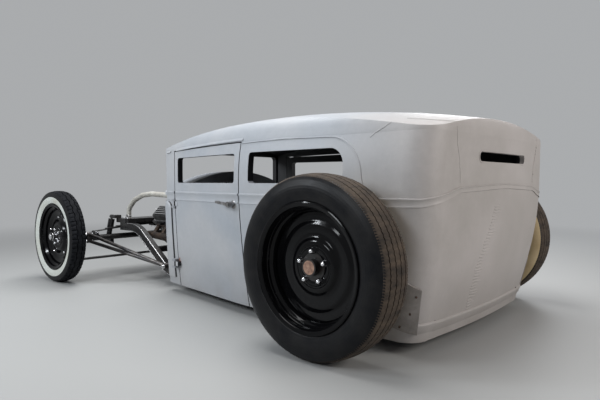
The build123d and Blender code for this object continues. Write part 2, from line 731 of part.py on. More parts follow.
# Intake manifold in the valley with the carburettor and its round air cleaner
MANIFOLD_TOP = VALLEY_Z + 116
MANIFOLD_LENGTH = 400
CARBURETTOR_HEIGHT = 44
CLEANER_HEIGHT = 50
CLEANER_RADIUS = 115
with BuildPart() as intake_and_carburettor:
    with BuildSketch(Plane.YZ.offset(at(engine_middle) - MANIFOLD_LENGTH / 2)):
        with BuildLine():
            Polyline(
                (0, VALLEY_Z),
                (134, VALLEY_Z + 100),
                (112, MANIFOLD_TOP - 12),
                (72, MANIFOLD_TOP),
                (0, MANIFOLD_TOP),
            )
            mirror(about=Plane.YZ)
        make_face()
    extrude(amount=MANIFOLD_LENGTH)
    with BuildSketch(Plane.XY.offset(MANIFOLD_TOP)):
        with Locations((at(engine_middle), 0)):
            RectangleRounded(150, 120, 16)
    extrude(amount=CARBURETTOR_HEIGHT * 0.3)
    with BuildSketch(Plane.XY.offset(MANIFOLD_TOP)):
        with Locations((at(engine_middle), 0)):
            RectangleRounded(210, 78, 20)
            Circle(56)
    extrude(amount=CARBURETTOR_HEIGHT)
    cleaner_z = MANIFOLD_TOP + CARBURETTOR_HEIGHT
    with BuildSketch(Plane(origin=(at(engine_middle), 0, cleaner_z), x_dir=(1, 0, 0), z_dir=(0, -1, 0))):
        with BuildLine():
            FilletPolyline(
                (0, 0),
                (CLEANER_RADIUS - 25, 0),
                (CLEANER_RADIUS, 14),
                (CLEANER_RADIUS, CLEANER_HEIGHT - 14),
                (CLEANER_RADIUS - 8, CLEANER_HEIGHT - 4),
                (0, CLEANER_HEIGHT),
                radius=4,
            )
            Line((0, CLEANER_HEIGHT), (0, 0))
        make_face()
    revolve(axis=Axis((at(engine_middle), 0, cleaner_z), (0, 0, 1)))
    add(engine_block.part, mode=Mode.SUBTRACT)
    add(valve_covers.part, mode=Mode.SUBTRACT)
save(intake_and_carburettor.part, "intake_and_carburettor")

# Exhaust headers: a flange on each head and four bent pipes into an open collector
HEADER_RADIUS = 18
HEADER_FLANGE = 8
COLLECTOR_RADIUS = 34
COLLECTOR_FLANGE = 9
COLLECTOR_Y = 302
COLLECTOR_Z = 345
COLLECTOR_BACK = ENGINE_BACK + 60
port_face = bank_point(PORT_OUT, HEAD_HALF + PORT_BOSS)
flange_normal = Vector(0, cos(BANK_ANGLE), -sin(BANK_ANGLE))
flange_plane = Plane(origin=(at(engine_middle), *port_face), x_dir=(1, 0, 0), z_dir=flange_normal)
with BuildPart() as exhaust_headers:
    with BuildSketch(flange_plane):
        with GridLocations(PORT_PITCH, 0, PORTS, 1):
            Circle(27)
        Rectangle(PORT_PITCH * (PORTS - 1), 26)
    extrude(amount=HEADER_FLANGE)
    for port in range(PORTS):
        x = at(engine_middle) + (port - (PORTS - 1) / 2) * PORT_PITCH
        bend = Vector(x, *port_face) + flange_normal * 34
        route = ((x, *port_face), tuple(bend), (x - 34, COLLECTOR_Y, COLLECTOR_Z))
        add(bent_tube(route, 26, HEADER_RADIUS))
    collector_front = (at(engine_middle) + 212, COLLECTOR_Y, COLLECTOR_Z)
    collector_back = (at(COLLECTOR_BACK), COLLECTOR_Y, COLLECTOR_Z - 20)
    add(ball(collector_front, COLLECTOR_RADIUS - 8))
    add(cone(collector_front, collector_back, COLLECTOR_RADIUS - 8, COLLECTOR_RADIUS))
    with BuildSketch(Plane.YZ.offset(at(COLLECTOR_BACK))):
        with Locations(collector_back[1:]):
            with PolarLocations(COLLECTOR_RADIUS + 4, 3):
                Circle(9)
        make_hull()
    extrude(amount=COLLECTOR_FLANGE)
    mirror(about=Plane.XZ)
save(exhaust_headers.part, "exhaust_headers")

# Bell housing, gearbox and open driveshaft with its joints, back to the axle
BELL_HOUSING_RADIUS = 170
BELL_HOUSING_LENGTH = 85
GEARBOX_RADIUS = 78
GEARBOX_TAIL_RADIUS = 46
GEARBOX_BACK = 1100
GEARBOX_BACK_Z = 272
SHAFT_RADIUS = 34
SHAFT_JOINT_RADIUS = 42
DIFFERENTIAL_RADIUS = 135
PINION_AHEAD = 40
PINION_DROP = 40
bell_back = ENGINE_BACK - BELL_HOUSING_LENGTH
pinion = (at(DIFFERENTIAL_RADIUS + PINION_AHEAD), 0, REAR_AXLE_Z - PINION_DROP)
with BuildPart() as gearbox_and_driveshaft:
    add(rod((at(ENGINE_BACK) - 12, 0, CRANK_Z), (at(ENGINE_BACK), 0, CRANK_Z), BELL_HOUSING_RADIUS))
    add(cone((at(ENGINE_BACK) - 12, 0, CRANK_Z), (at(bell_back), 0, CRANK_Z), BELL_HOUSING_RADIUS - 12, 100))
    case_back = (at(1362), 0, 289)
    gearbox_end = (at(GEARBOX_BACK), 0, GEARBOX_BACK_Z)
    add(rod((at(bell_back) + 5, 0, CRANK_Z - 3), case_back, GEARBOX_RADIUS))
    add(cone(case_back, gearbox_end, GEARBOX_RADIUS - 6, GEARBOX_TAIL_RADIUS))
    shaft_front = (at(GEARBOX_BACK) - 20, 0, GEARBOX_BACK_Z)
    add(rod(gearbox_end, shaft_front, 30))
    add(ball(shaft_front, SHAFT_JOINT_RADIUS))
    add(rod(shaft_front, pinion, SHAFT_RADIUS))
    add(ball(pinion, SHAFT_JOINT_RADIUS))
save(gearbox_and_driveshaft.part, "gearbox_and_driveshaft")

# Coolant hose: from the front crossmember up and back over the left bank to the firewall
HOSE_RADIUS = 20
hose_route = (
    (at(WHEELBASE - 70), 335, crossmember_top + SEAT_GAP),
    (at(WHEELBASE - 70), 335, 545),
    (at(WHEELBASE - 160), 335, 618),
    (at(WHEELBASE - 300), 345, 662),
    (at(2180), 355, 676),
    (at(1950), 345, 668),
    (at(FIREWALL_BACK + FIREWALL_PLATE) + SEAT_GAP, 320, 640),
)
with BuildPart() as coolant_hose:
    add(bent_tube(hose_route, (60, 100, 200, 200, 200), HOSE_RADIUS))
    add(firewall.part, mode=Mode.SUBTRACT)
save(coolant_hose.part, "coolant_hose")

# Front spring: one transverse leaf pack under the crossmember, with an eye at each end
SPRING_HALF = 600
SPRING_DROP = 34
SPRING_WIDTH = 45
LEAF = 6
LEAVES = (1.0, 0.84, 0.68, 0.52, 0.36)
SPRING_EYE_RADIUS = 12
SHACKLE_BOLT_RADIUS = 6
spring_top = crossmember_low - SEAT_GAP - LEAF * len(LEAVES) + LEAF / 2
spring_eye = (SPRING_HALF + 3, spring_top - SPRING_DROP - SPRING_EYE_RADIUS + LEAF / 2)
with BuildPart() as front_spring:
    with BuildSketch(Plane.YZ.offset(at(WHEELBASE) - SPRING_WIDTH / 2)):
        for number, share in enumerate(LEAVES):
            half = SPRING_HALF * share
            drop = SPRING_DROP * share**2
            top = spring_top + number * LEAF
            with BuildLine():
                ThreePointArc((-half, top - drop), (0, top), (half, top - drop))
            trace(line_width=LEAF + 0.4)
        with Locations(spring_eye, (-spring_eye[0], spring_eye[1])):
            Circle(SPRING_EYE_RADIUS)
    extrude(amount=SPRING_WIDTH)
    with BuildSketch(Plane.YZ.offset(at(WHEELBASE) - SPRING_WIDTH)):
        with Locations(spring_eye, (-spring_eye[0], spring_eye[1])):
            Circle(SHACKLE_BOLT_RADIUS + RUNNING_FIT)
    extrude(amount=SPRING_WIDTH * 2, mode=Mode.SUBTRACT)
    for shift in (-1, 1):
        clamp = at(WHEELBASE) + shift * (SPRING_WIDTH / 2 + 7)
        for y in (60, -60):
            add(upright(clamp, y, spring_top - 14, crossmember_low - SEAT_GAP, 5))
    clamp_low = (at(WHEELBASE) - SPRING_WIDTH / 2 - 14, -80, spring_top - 18)
    add(slab(clamp_low, (at(WHEELBASE) + SPRING_WIDTH / 2 + 14, 80, spring_top)))
save(front_spring.part, "front_spring")

# Front axle: a dropped tube with kingpin bosses, and shackles that carry the spring's eyes
KINGPIN_Y = FRONT_WHEEL_Y - 104
KINGPIN_RADIUS = 10
BOSS_RADIUS = 24
BOSS_HALF = 30
FRONT_TUBE_RADIUS = 23
FRONT_TUBE_DROP = 36
AXLE_BEND_Y = KINGPIN_Y - 135
SHACKLE_PLATE = 6
beam_z = FRONT_AXLE_Z - FRONT_TUBE_DROP
with BuildPart() as front_axle:
    tube_end = KINGPIN_Y - 8
    axle_route = (
        (at(WHEELBASE), -tube_end, FRONT_AXLE_Z),
        (at(WHEELBASE), -AXLE_BEND_Y, beam_z),
        (at(WHEELBASE), AXLE_BEND_Y, beam_z),
        (at(WHEELBASE), tube_end, FRONT_AXLE_Z),
    )
    add(bent_tube(axle_route, 220, FRONT_TUBE_RADIUS))
    for side in (1, -1):
        boss = (FRONT_AXLE_Z - BOSS_HALF, FRONT_AXLE_Z + BOSS_HALF)
        add(upright(at(WHEELBASE), side * KINGPIN_Y, *boss, BOSS_RADIUS))
        add(upright(at(WHEELBASE), side * KINGPIN_Y, FRONT_AXLE_Z - 52, FRONT_AXLE_Z + 52, KINGPIN_RADIUS))
        shackle_foot = (side * (spring_eye[0] - 20), beam_z)
        shackle_head = (side * spring_eye[0], spring_eye[1])
        for shift in (-1, 1):
            face = at(WHEELBASE) + shift * (SPRING_WIDTH / 2 + SEAT_GAP)
            with BuildSketch(Plane.YZ.offset(face)):
                for place in (shackle_foot, shackle_head):
                    with Locations(place):
                        Circle(14)
                make_hull()
            extrude(amount=shift * SHACKLE_PLATE)
        bolt_half = SPRING_WIDTH / 2 + SEAT_GAP + SHACKLE_PLATE + 8
        bolt_start = (at(WHEELBASE) - bolt_half, *shackle_head)
        add(rod(bolt_start, (at(WHEELBASE) + bolt_half, *shackle_head), SHACKLE_BOLT_RADIUS))
save(front_axle.part, "front_axle")

# Radius rods: a hairpin each side, from a plate on the axle back to a bracket on the rail
ROD_RADIUS = 13
ROD_BACK = (1850, 452, 150)
ROD_FRONT_Y = KINGPIN_Y - 115
ROD_SPREAD = 28
ROD_PLATE = 36
with BuildPart() as radius_rods:
    back = (at(ROD_BACK[0]), ROD_BACK[1], ROD_BACK[2])
    for lift in (ROD_SPREAD, -ROD_SPREAD):
        front = (at(WHEELBASE) - 32, ROD_FRONT_Y, beam_z + 10 + lift)
        add(rod(front, back, ROD_RADIUS))
        add(across(front[0], ROD_FRONT_Y, front[2], ROD_RADIUS + 3, ROD_PLATE))
    with BuildSketch(Plane.XZ.offset(-ROD_FRONT_Y - ROD_PLATE / 2)):
        for x, z in ((-34, beam_z + 10 + ROD_SPREAD), (-34, beam_z + 10 - ROD_SPREAD), (6, beam_z)):
            with Locations((at(WHEELBASE) + x, z)):
                Circle(16)
        make_hull()
    extrude(amount=ROD_PLATE)
    add(front_axle.part, mode=Mode.SUBTRACT)
    add(across(back[0], back[1], back[2], 22, 34))
    add(across(back[0], (back[1] + rail_outside) / 2, back[2], 11, back[1] - rail_outside + 44))
    bracket_low = (back[0] - 45, rail_outside - 1, RAIL_LOW - 10)
    add(slab(bracket_low, (back[0] + 45, rail_outside + 14, back[2] + 18)))
    add(frame_rails.part, mode=Mode.SUBTRACT)
    mirror(about=Plane.XZ)
save(radius_rods.part, "radius_rods")

# Front shock absorbers: upright tubes ahead of the axle, on bolts through their eyes
SHOCK_AHEAD = WHEELBASE + 66
SHOCK_FOOT = (at(SHOCK_AHEAD), 455, FRONT_AXLE_Z - 76)
SHOCK_HEAD = (at(SHOCK_AHEAD), 415, crossmember_top + 13)
SHOCK_RADIUS = 21
with BuildPart() as front_shocks:
    foot = Vector(*SHOCK_FOOT)
    head = Vector(*SHOCK_HEAD)
    shock_run = head - foot
    add(rod(tuple(foot + shock_run * 0.08), tuple(foot + shock_run * 0.56), SHOCK_RADIUS))
    add(rod(tuple(foot + shock_run * 0.5), tuple(foot + shock_run * 0.9), SHOCK_RADIUS + 5))
    for x, y, z in (SHOCK_FOOT, SHOCK_HEAD):
        add(rod((x - 17, y, z), (x + 17, y, z), 15))
        add(rod((x - 46, y, z), (x + 26, y, z), 8))
    add(rod(SHOCK_FOOT, SHOCK_HEAD, 8))
    add(slab((at(WHEELBASE) - 6, 440, SHOCK_FOOT[2] - 14), (at(WHEELBASE) + 32, 470, beam_z)))
    upper_bracket = (at(CROSSMEMBER_FRONT) - 45, 372, crossmember_top)
    add(slab(upper_bracket, (at(SHOCK_AHEAD) - 17, 432, crossmember_top + 26)))
    add(front_axle.part, mode=Mode.SUBTRACT)
    mirror(about=Plane.XZ)
save(front_shocks.part, "front_shocks")

# Knuckles: fork round the kingpin boss, spindle, backing plate and steering arm
EAR_THICK = 20
EAR_GAP = 0.5
SPINDLE_RADIUS = 17
SPINDLE_END = FRONT_WHEEL_Y + 36
BACKING_Y = FRONT_WHEEL_Y - 61
BACKING_PLATE = 5
BACKING_RADIUS = 128
DRUM_GAP = 5
TIE_ROD_Z = FRONT_AXLE_Z - 179
TIE_ARM_BACK = 130
TIE_PIN_RADIUS = 7
with BuildPart() as left_knuckle:
    x = at(WHEELBASE)
    ear_low = FRONT_AXLE_Z + BOSS_HALF + EAR_GAP
    ear_foot = 2 * FRONT_AXLE_Z - ear_low - EAR_THICK
    for low in (ear_low, ear_foot):
        add(upright(x, KINGPIN_Y, low, low + EAR_THICK, 25))
        add(slab((x - 25, KINGPIN_Y, low), (x + 25, BACKING_Y, low + EAR_THICK)))
    add(slab((x - 25, BACKING_Y - 12, ear_foot), (x + 25, BACKING_Y, ear_low + EAR_THICK)))
    add(cone((x, BACKING_Y - 6, FRONT_AXLE_Z), (x, BACKING_Y + 2, FRONT_AXLE_Z), 30, 44))
    add(upright(x, KINGPIN_Y, ear_foot - 20, ear_low + 60, KINGPIN_RADIUS + RUNNING_FIT), mode=Mode.SUBTRACT)
    add(across(x, BACKING_Y + BACKING_PLATE / 2, FRONT_AXLE_Z, BACKING_RADIUS, BACKING_PLATE))
    add(across(x, (BACKING_Y + SPINDLE_END) / 2, FRONT_AXLE_Z, SPINDLE_RADIUS, SPINDLE_END - BACKING_Y))
    arm_root = (x - 10, BACKING_Y - 10, FRONT_AXLE_Z - 40)
    arm_knee = (x - 60, BACKING_Y - 28, TIE_ROD_Z + 60)
    arm_end = (x - TIE_ARM_BACK, KINGPIN_Y, TIE_ROD_Z + 28)
    add(bent_tube((arm_root, arm_knee, arm_end), 60, 12))
    add(upright(arm_end[0], arm_end[1], TIE_ROD_Z + 16, TIE_ROD_Z + 40, 16))
    add(upright(arm_end[0], arm_end[1], TIE_ROD_Z - 16, TIE_ROD_Z + 20, TIE_PIN_RADIUS))
save(left_knuckle.part, "left_knuckle")
save(mirror(left_knuckle.part, about=Plane.XZ), "right_knuckle")

# Tie rod between the two steering arms, behind the axle
TIE_ROD_RADIUS = 10
TIE_EYE_RADIUS = 16
TIE_EYE_HALF = 14
with BuildPart() as tie_rod:
    x = at(WHEELBASE - TIE_ARM_BACK)
    eye = (TIE_ROD_Z - TIE_EYE_HALF, TIE_ROD_Z + TIE_EYE_HALF)
    add(across(x, 0, TIE_ROD_Z, TIE_ROD_RADIUS, 2 * KINGPIN_Y))
    for side in (1, -1):
        add(upright(x, side * KINGPIN_Y, *eye, TIE_EYE_RADIUS))
    add(upright(x, KINGPIN_Y, 100, 250, TIE_PIN_RADIUS + RUNNING_FIT), mode=Mode.SUBTRACT)
    add(upright(x, -KINGPIN_Y, 100, 250, TIE_PIN_RADIUS + 0.6), mode=Mode.SUBTRACT)
save(tie_rod.part, "tie_rod")

# Rear axle: tubes swelling into the differential, and a stub at each end for the drum
REAR_TUBE_RADIUS = 38
REAR_TUBE_HALF = REAR_WHEEL_Y - 102
REAR_STUB_RADIUS = 22
REAR_STUB_END = REAR_WHEEL_Y + 43
REAR_BACKING_RADIUS = 138
REAR_BACKING_PLATE = 8
COVER_RADIUS = 96
axle_section = Plane(origin=(at(0), 0, REAR_AXLE_Z), x_dir=(0, 1, 0), z_dir=(1, 0, 0))
with BuildPart() as rear_axle:
    with BuildSketch(axle_section):
        with BuildLine():
            FilletPolyline(
                (REAR_TUBE_HALF, REAR_TUBE_RADIUS),
                (190, REAR_TUBE_RADIUS),
                (112, REAR_TUBE_RADIUS + 22),
                (70, DIFFERENTIAL_RADIUS),
                (-70, DIFFERENTIAL_RADIUS),
                (-112, REAR_TUBE_RADIUS + 22),
                (-190, REAR_TUBE_RADIUS),
                (-REAR_TUBE_HALF, REAR_TUBE_RADIUS),
                radius=(60, 25, 35, 35, 25, 60),
            )
            Polyline(
                (REAR_TUBE_HALF, REAR_TUBE_RADIUS),
                (REAR_TUBE_HALF, 0),
                (-REAR_TUBE_HALF, 0),
                (-REAR_TUBE_HALF, REAR_TUBE_RADIUS),
            )
        make_face()
    revolve(axis=Axis((at(0), 0, REAR_AXLE_Z), (0, 1, 0)))
    cover_back = at(-DIFFERENTIAL_RADIUS - 8)
    add(cone((at(-60), 0, REAR_AXLE_Z), (cover_back, 0, REAR_AXLE_Z), COVER_RADIUS + 18, COVER_RADIUS - 14))
    nose = (at(60), 0, REAR_AXLE_Z - PINION_DROP * 60 / (DIFFERENTIAL_RADIUS + PINION_AHEAD))
    add(cone(nose, pinion, 78, 46))
    for side in (1, -1):
        plate_y = side * (REAR_TUBE_HALF + REAR_BACKING_PLATE / 2)
        add(across(at(0), plate_y, REAR_AXLE_Z, REAR_BACKING_RADIUS, REAR_BACKING_PLATE))
        stub_y = side * (REAR_STUB_END + REAR_TUBE_HALF) / 2
        add(across(at(0), stub_y, REAR_AXLE_Z, REAR_STUB_RADIUS, REAR_STUB_END - REAR_TUBE_HALF))
    add(gearbox_and_driveshaft.part, mode=Mode.SUBTRACT)
save(rear_axle.part, "rear_axle")

# Rear trailing arms: a two-bar ladder each side, from the axle to the kick of the frame
ARM_Y = 460
ARM_HEAD = (at(330), ARM_Y, 280)
ARM_SPREAD = 70
ARM_PLATE = 36
ARM_RADIUS = 14
with BuildPart() as trailing_arms:
    for lift in (ARM_SPREAD, -ARM_SPREAD):
        add(rod((at(0), ARM_Y, REAR_AXLE_Z + lift), ARM_HEAD, ARM_RADIUS))
    with BuildSketch(Plane.XZ.offset(-ARM_Y - ARM_PLATE / 2)):
        with Locations((at(0), REAR_AXLE_Z)):
            Circle(REAR_TUBE_RADIUS + 16)
            SlotOverall(ARM_SPREAD * 2 + 52, 52, rotation=90)
    extrude(amount=ARM_PLATE)
    add(across(at(0), ARM_Y, REAR_AXLE_Z, REAR_TUBE_RADIUS, 100), mode=Mode.SUBTRACT)
    add(across(ARM_HEAD[0], (ARM_Y + 18 + rail_outside) / 2, ARM_HEAD[2], 28, ARM_Y + 18 - rail_outside))
    mirror(about=Plane.XZ)
save(trailing_arms.part, "trailing_arms")

# Rear coil-over shocks between the axle and the rear cross tube
COIL_Y = 280
COIL_FOOT = (at(-62), COIL_Y, REAR_AXLE_Z - 62)
COIL_HEAD = (at(REAR_CROSS_TUBE + 22), COIL_Y, RAIL_REAR_Z - 12)
COIL_RADIUS = 31
COIL_WIRE = 5.5
COIL_TURNS = 6
coil_run = Vector(*COIL_HEAD) - Vector(*COIL_FOOT)
coil_start = Vector(*COIL_FOOT) + coil_run * 0.2
coil_length = coil_run.length * 0.66
with BuildPart() as coil:
    with BuildLine() as coil_line:
        Helix(pitch=coil_length / COIL_TURNS, height=coil_length, radius=COIL_RADIUS)
    with BuildSketch(Plane(origin=coil_line.line @ 0, z_dir=coil_line.line % 0)):
        Circle(COIL_WIRE)
    sweep(is_frenet=True)
with BuildPart() as rear_coilovers:
    add(rod(COIL_FOOT, tuple(coil_start + coil_run * 0.36), 21))
    add(rod(COIL_FOOT, COIL_HEAD, 11))
    for place in (coil_start, coil_start + coil_run.normalized() * coil_length):
        direction = coil_run.normalized()
        add(rod(tuple(place - direction * 4), tuple(place + direction * 4), COIL_RADIUS + COIL_WIRE + 2))
    add(Plane(origin=coil_start, z_dir=coil_run) * coil.part)
    add(across(COIL_FOOT[0], COIL_Y, COIL_FOOT[2], 18, 40))
    add(slab((at(-80), COIL_Y - 20, REAR_AXLE_Z - 80), (at(0), COIL_Y + 20, REAR_AXLE_Z - 20)))
    head_low = (at(REAR_CROSS_TUBE) - 15, COIL_Y - 20, RAIL_REAR_Z - 32)
    add(slab(head_low, (at(REAR_CROSS_TUBE) + 40, COIL_Y + 20, RAIL_REAR_Z + 8)))
    add(rear_axle.part, mode=Mode.SUBTRACT)
    add(frame_rails.part, mode=Mode.SUBTRACT)
    mirror(about=Plane.XZ)
save(rear_coilovers.part, "rear_coilovers")

# Wheels and tyres. Each is drawn about its own axle as (distance outboard, radius)
WheelSize = namedtuple(
    "WheelSize",
    "ahead axle_z y tyre_radius half_width flange barrel rim_half disc_out hub stub_end drum_in nose_end",
)
REAR_RIM_OFFSETS = (282, 262, 98, 36)
FRONT_RIM_OFFSETS = (248, 232, 50, 10)
REAR_DRUM_IN = REAR_TUBE_HALF + REAR_BACKING_PLATE + DRUM_GAP
FRONT_DRUM_IN = BACKING_Y + BACKING_PLATE + DRUM_GAP
REAR = WheelSize(
    0, REAR_AXLE_Z, REAR_WHEEL_Y, REAR_TYRE_RADIUS, REAR_TYRE_HALF_WIDTH, *REAR_RIM_OFFSETS,
    REAR_STUB_RADIUS, REAR_STUB_END, REAR_DRUM_IN, REAR_WHEEL_Y + 64,
)
FRONT = WheelSize(
    WHEELBASE, FRONT_AXLE_Z, FRONT_WHEEL_Y, FRONT_TYRE_RADIUS, FRONT_TYRE_HALF_WIDTH, *FRONT_RIM_OFFSETS,
    SPINDLE_RADIUS, SPINDLE_END, FRONT_DRUM_IN, FRONT_WHEEL_Y + 69,
)
RIM_SHEET = 5


def axle_plane(size):
    """Plane whose local x runs outboard along the axle and local y up."""
    return Plane(origin=(at(size.ahead), size.y, size.axle_z), x_dir=(0, 1, 0), z_dir=(1, 0, 0))


def axle_line(size):
    return Axis((at(size.ahead), size.y, size.axle_z), (0, 1, 0))


def make_wheel(size):
    bead = size.rim_half - 6
    with BuildPart() as wheel:
        with BuildSketch(axle_plane(size)):
            with BuildLine():
                FilletPolyline(
                    (-size.rim_half, size.flange - RIM_SHEET / 2),
                    (-bead, size.barrel),
                    (-bead * 0.55, size.barrel),
                    (-bead * 0.4, size.barrel - 18),
                    (bead * 0.35, size.barrel - 18),
                    (bead * 0.5, size.barrel),
                    (bead, size.barrel),
                    (size.rim_half, size.flange - RIM_SHEET / 2),
                    radius=4,
                )
            trace(line_width=RIM_SHEET)
            with BuildLine():
                FilletPolyline(
                    (bead * 0.2, size.barrel - 18),
                    (size.disc_out - 22, size.barrel - 50),
                    (size.disc_out - 16, size.barrel * 0.5),
                    (size.disc_out, size.barrel * 0.42),
                    (size.disc_out, size.hub + 20),
                    radius=10,
                )
            trace(line_width=RIM_SHEET + 1)
        revolve(axis=axle_line(size))
    return wheel.part


def along_axle(size, start, end, radius):
    """A bar round the axle line between two distances out from the middle of the car."""
    return across(at(size.ahead), (start + end) / 2, size.axle_z, radius, end - start)


def make_drum(size):
    disc_face = size.y + size.disc_out - (RIM_SHEET + 1) / 2
    drum_out = disc_face - 28
    outer = size.barrel * 0.5 + 4
    with BuildPart() as drum:
        add(along_axle(size, size.drum_in, drum_out, outer))
        add(along_axle(size, size.drum_in - 10, drum_out - 8, outer - 10), mode=Mode.SUBTRACT)
        add(along_axle(size, size.drum_in + 8, disc_face, size.hub + 40))
        add(along_axle(size, disc_face, size.nose_end, size.hub + 16))
        add(along_axle(size, size.drum_in, size.stub_end + 3, size.hub + RUNNING_FIT), mode=Mode.SUBTRACT)
    return drum.part


def make_tyre(size):
    bead_width = size.rim_half - 7.8 - SEAT_GAP
    bead = size.barrel + RIM_SHEET / 2 + SEAT_GAP
    crown = size.tyre_radius
    wall = crown - bead
    with BuildPart() as tyre:
        with BuildSketch(axle_plane(size)):
            with BuildLine():
                Line((-bead_width, bead), (bead_width, bead))
                Line((bead_width, bead), (bead_width - 2, bead + 0.2 * wall))
                ThreePointArc(
                    (bead_width - 2, bead + 0.2 * wall),
                    (size.half_width, bead + 0.52 * wall),
                    (size.half_width * 0.8, crown - 0.07 * wall),
                )
                ThreePointArc(
                    (size.half_width * 0.8, crown - 0.07 * wall),
                    (0, crown),
                    (-size.half_width * 0.8, crown - 0.07 * wall),
                )
                ThreePointArc(
                    (-size.half_width * 0.8, crown - 0.07 * wall),
                    (-size.half_width, bead + 0.52 * wall),
                    (-bead_width + 2, bead + 0.2 * wall),
                )
                Line((-bead_width + 2, bead + 0.2 * wall), (-bead_width, bead))
            make_face()
        revolve(axis=axle_line(size))
    return tyre.part


for size, end in ((REAR, "rear"), (FRONT, "front")):
    pieces = ((make_wheel(size), "wheel"), (make_drum(size), "drum"), (make_tyre(size), "tyre"))
    for part, piece in pieces:
        save(part, f"left_{end}_{piece}")
        save(mirror(part, about=Plane.XZ), f"right_{end}_{piece}")
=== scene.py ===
import bmesh
import bpy
import json
import math
import random
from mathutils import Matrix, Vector
from mathutils.bvhtree import BVHTree


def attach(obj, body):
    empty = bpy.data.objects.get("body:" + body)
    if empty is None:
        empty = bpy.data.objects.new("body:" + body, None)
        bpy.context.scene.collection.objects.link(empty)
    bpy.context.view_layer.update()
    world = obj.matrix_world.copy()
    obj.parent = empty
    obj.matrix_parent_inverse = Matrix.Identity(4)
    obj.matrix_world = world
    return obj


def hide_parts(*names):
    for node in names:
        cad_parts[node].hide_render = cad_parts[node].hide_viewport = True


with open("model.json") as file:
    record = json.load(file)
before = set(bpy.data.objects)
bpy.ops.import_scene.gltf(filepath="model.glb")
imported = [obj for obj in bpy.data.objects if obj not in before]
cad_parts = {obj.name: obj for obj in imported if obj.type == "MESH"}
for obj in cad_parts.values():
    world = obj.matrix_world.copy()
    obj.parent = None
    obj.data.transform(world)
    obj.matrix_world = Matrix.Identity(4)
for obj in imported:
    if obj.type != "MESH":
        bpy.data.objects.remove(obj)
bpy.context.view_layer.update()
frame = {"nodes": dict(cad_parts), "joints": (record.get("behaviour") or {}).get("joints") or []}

# ---------------------------------------------------------------------------
# The floor, the light and the camera.
# A pale studio floor and room, with soft lamps above and on three sides. The
# camera stands at hip height off the car's left rear corner.
joints = {joint["name"]: joint for joint in frame["joints"]}
rear_axle_x = joints["left_rear_wheel_spin"]["pos_m"][0]


def ahead(distance):
    """X of a place given in metres ahead of the rear axle."""
    return rear_axle_x + distance


def feed(tree, socket, value):
    """Sets a socket to a plain value, or links the output that feeds it."""
    if isinstance(value, bpy.types.NodeSocket):
        tree.links.new(value, socket)
    else:
        socket.default_value = (*value, 1) if socket.type == "RGBA" else value


def add_node(tree, kind, inputs, output=0, **settings):
    """Adds a shader node and gives one of its outputs. inputs says what feeds its sockets."""
    made = tree.nodes.new("ShaderNode" + kind)
    for setting, value in settings.items():
        setattr(made, setting, value)
    for socket, value in inputs.items():
        feed(tree, made.inputs[socket], value)
    return made.outputs[output]


def place_in_scene(name, data):
    made = bpy.data.objects.new(name, data)
    bpy.context.scene.collection.objects.link(made)
    return made


FLOOR_REACH = 40
HORIZON_GREY = (0.4, 0.41, 0.42)
floor_sheet = bpy.data.meshes.new("floor")
floor_corners = [(x * FLOOR_REACH, y * FLOOR_REACH, 0) for x, y in ((-1, -1), (1, -1), (1, 1), (-1, 1))]
floor_sheet.from_pydata(floor_corners, [], [(0, 1, 2, 3)])
floor = place_in_scene("floor", floor_sheet)
floor_finish = bpy.data.materials.new("pale_floor")
floor_finish.use_nodes = True
floor_sheet.materials.append(floor_finish)
floor_tree = floor_finish.node_tree
floor_shader = floor_tree.nodes["Principled BSDF"]
feed(floor_tree, floor_shader.inputs["Base Color"], (0.36, 0.365, 0.36))
feed(floor_tree, floor_shader.inputs["Roughness"], 0.55)
floor_place = add_node(floor_tree, "TexCoord", {}, "Object")
far_away = add_node(floor_tree, "VectorMath", {0: floor_place}, "Value", operation="LENGTH")
fade = add_node(floor_tree, "MapRange", {"Value": far_away, "From Min": 2.6, "From Max": 7.5}, "Result",
                interpolation_type="SMOOTHSTEP")
horizon = add_node(floor_tree, "Emission", {"Color": HORIZON_GREY})
into_horizon = add_node(floor_tree, "MixShader", {0: fade, 1: floor_shader.outputs[0], 2: horizon})
feed(floor_tree, floor_tree.nodes["Material Output"].inputs["Surface"], into_horizon)

world = bpy.data.worlds.new("room")
bpy.context.scene.world = world
world.use_nodes = True
room = world.node_tree
room.nodes.clear()
light_path = room.nodes.new("ShaderNodeLightPath")
seen = 0
for ray in ("Is Camera Ray", "Is Glossy Ray", "Is Transmission Ray"):
    seen = add_node(room, "Math", {0: light_path.outputs[ray], 1: seen}, operation="MAXIMUM")
fill_light = add_node(room, "Background", {"Color": (0.86, 0.9, 1.0), "Strength": 0.2})
backdrop = add_node(room, "Background", {"Color": HORIZON_GREY, "Strength": 1.0})
either = add_node(room, "MixShader", {0: seen, 1: fill_light, 2: backdrop})
feed(room, room.nodes.new("ShaderNodeOutputWorld").inputs["Surface"], either)


def softbox(name, place, target, width, height, power, colour):
    lamp = bpy.data.lights.new(name, "AREA")
    lamp.shape = "RECTANGLE"
    lamp.size, lamp.size_y = width, height
    lamp.energy = power
    lamp.color = colour
    holder = place_in_scene(name, lamp)
    holder.location = place
    holder.rotation_euler = (Vector(target) - Vector(place)).to_track_quat("-Z", "Y").to_euler()


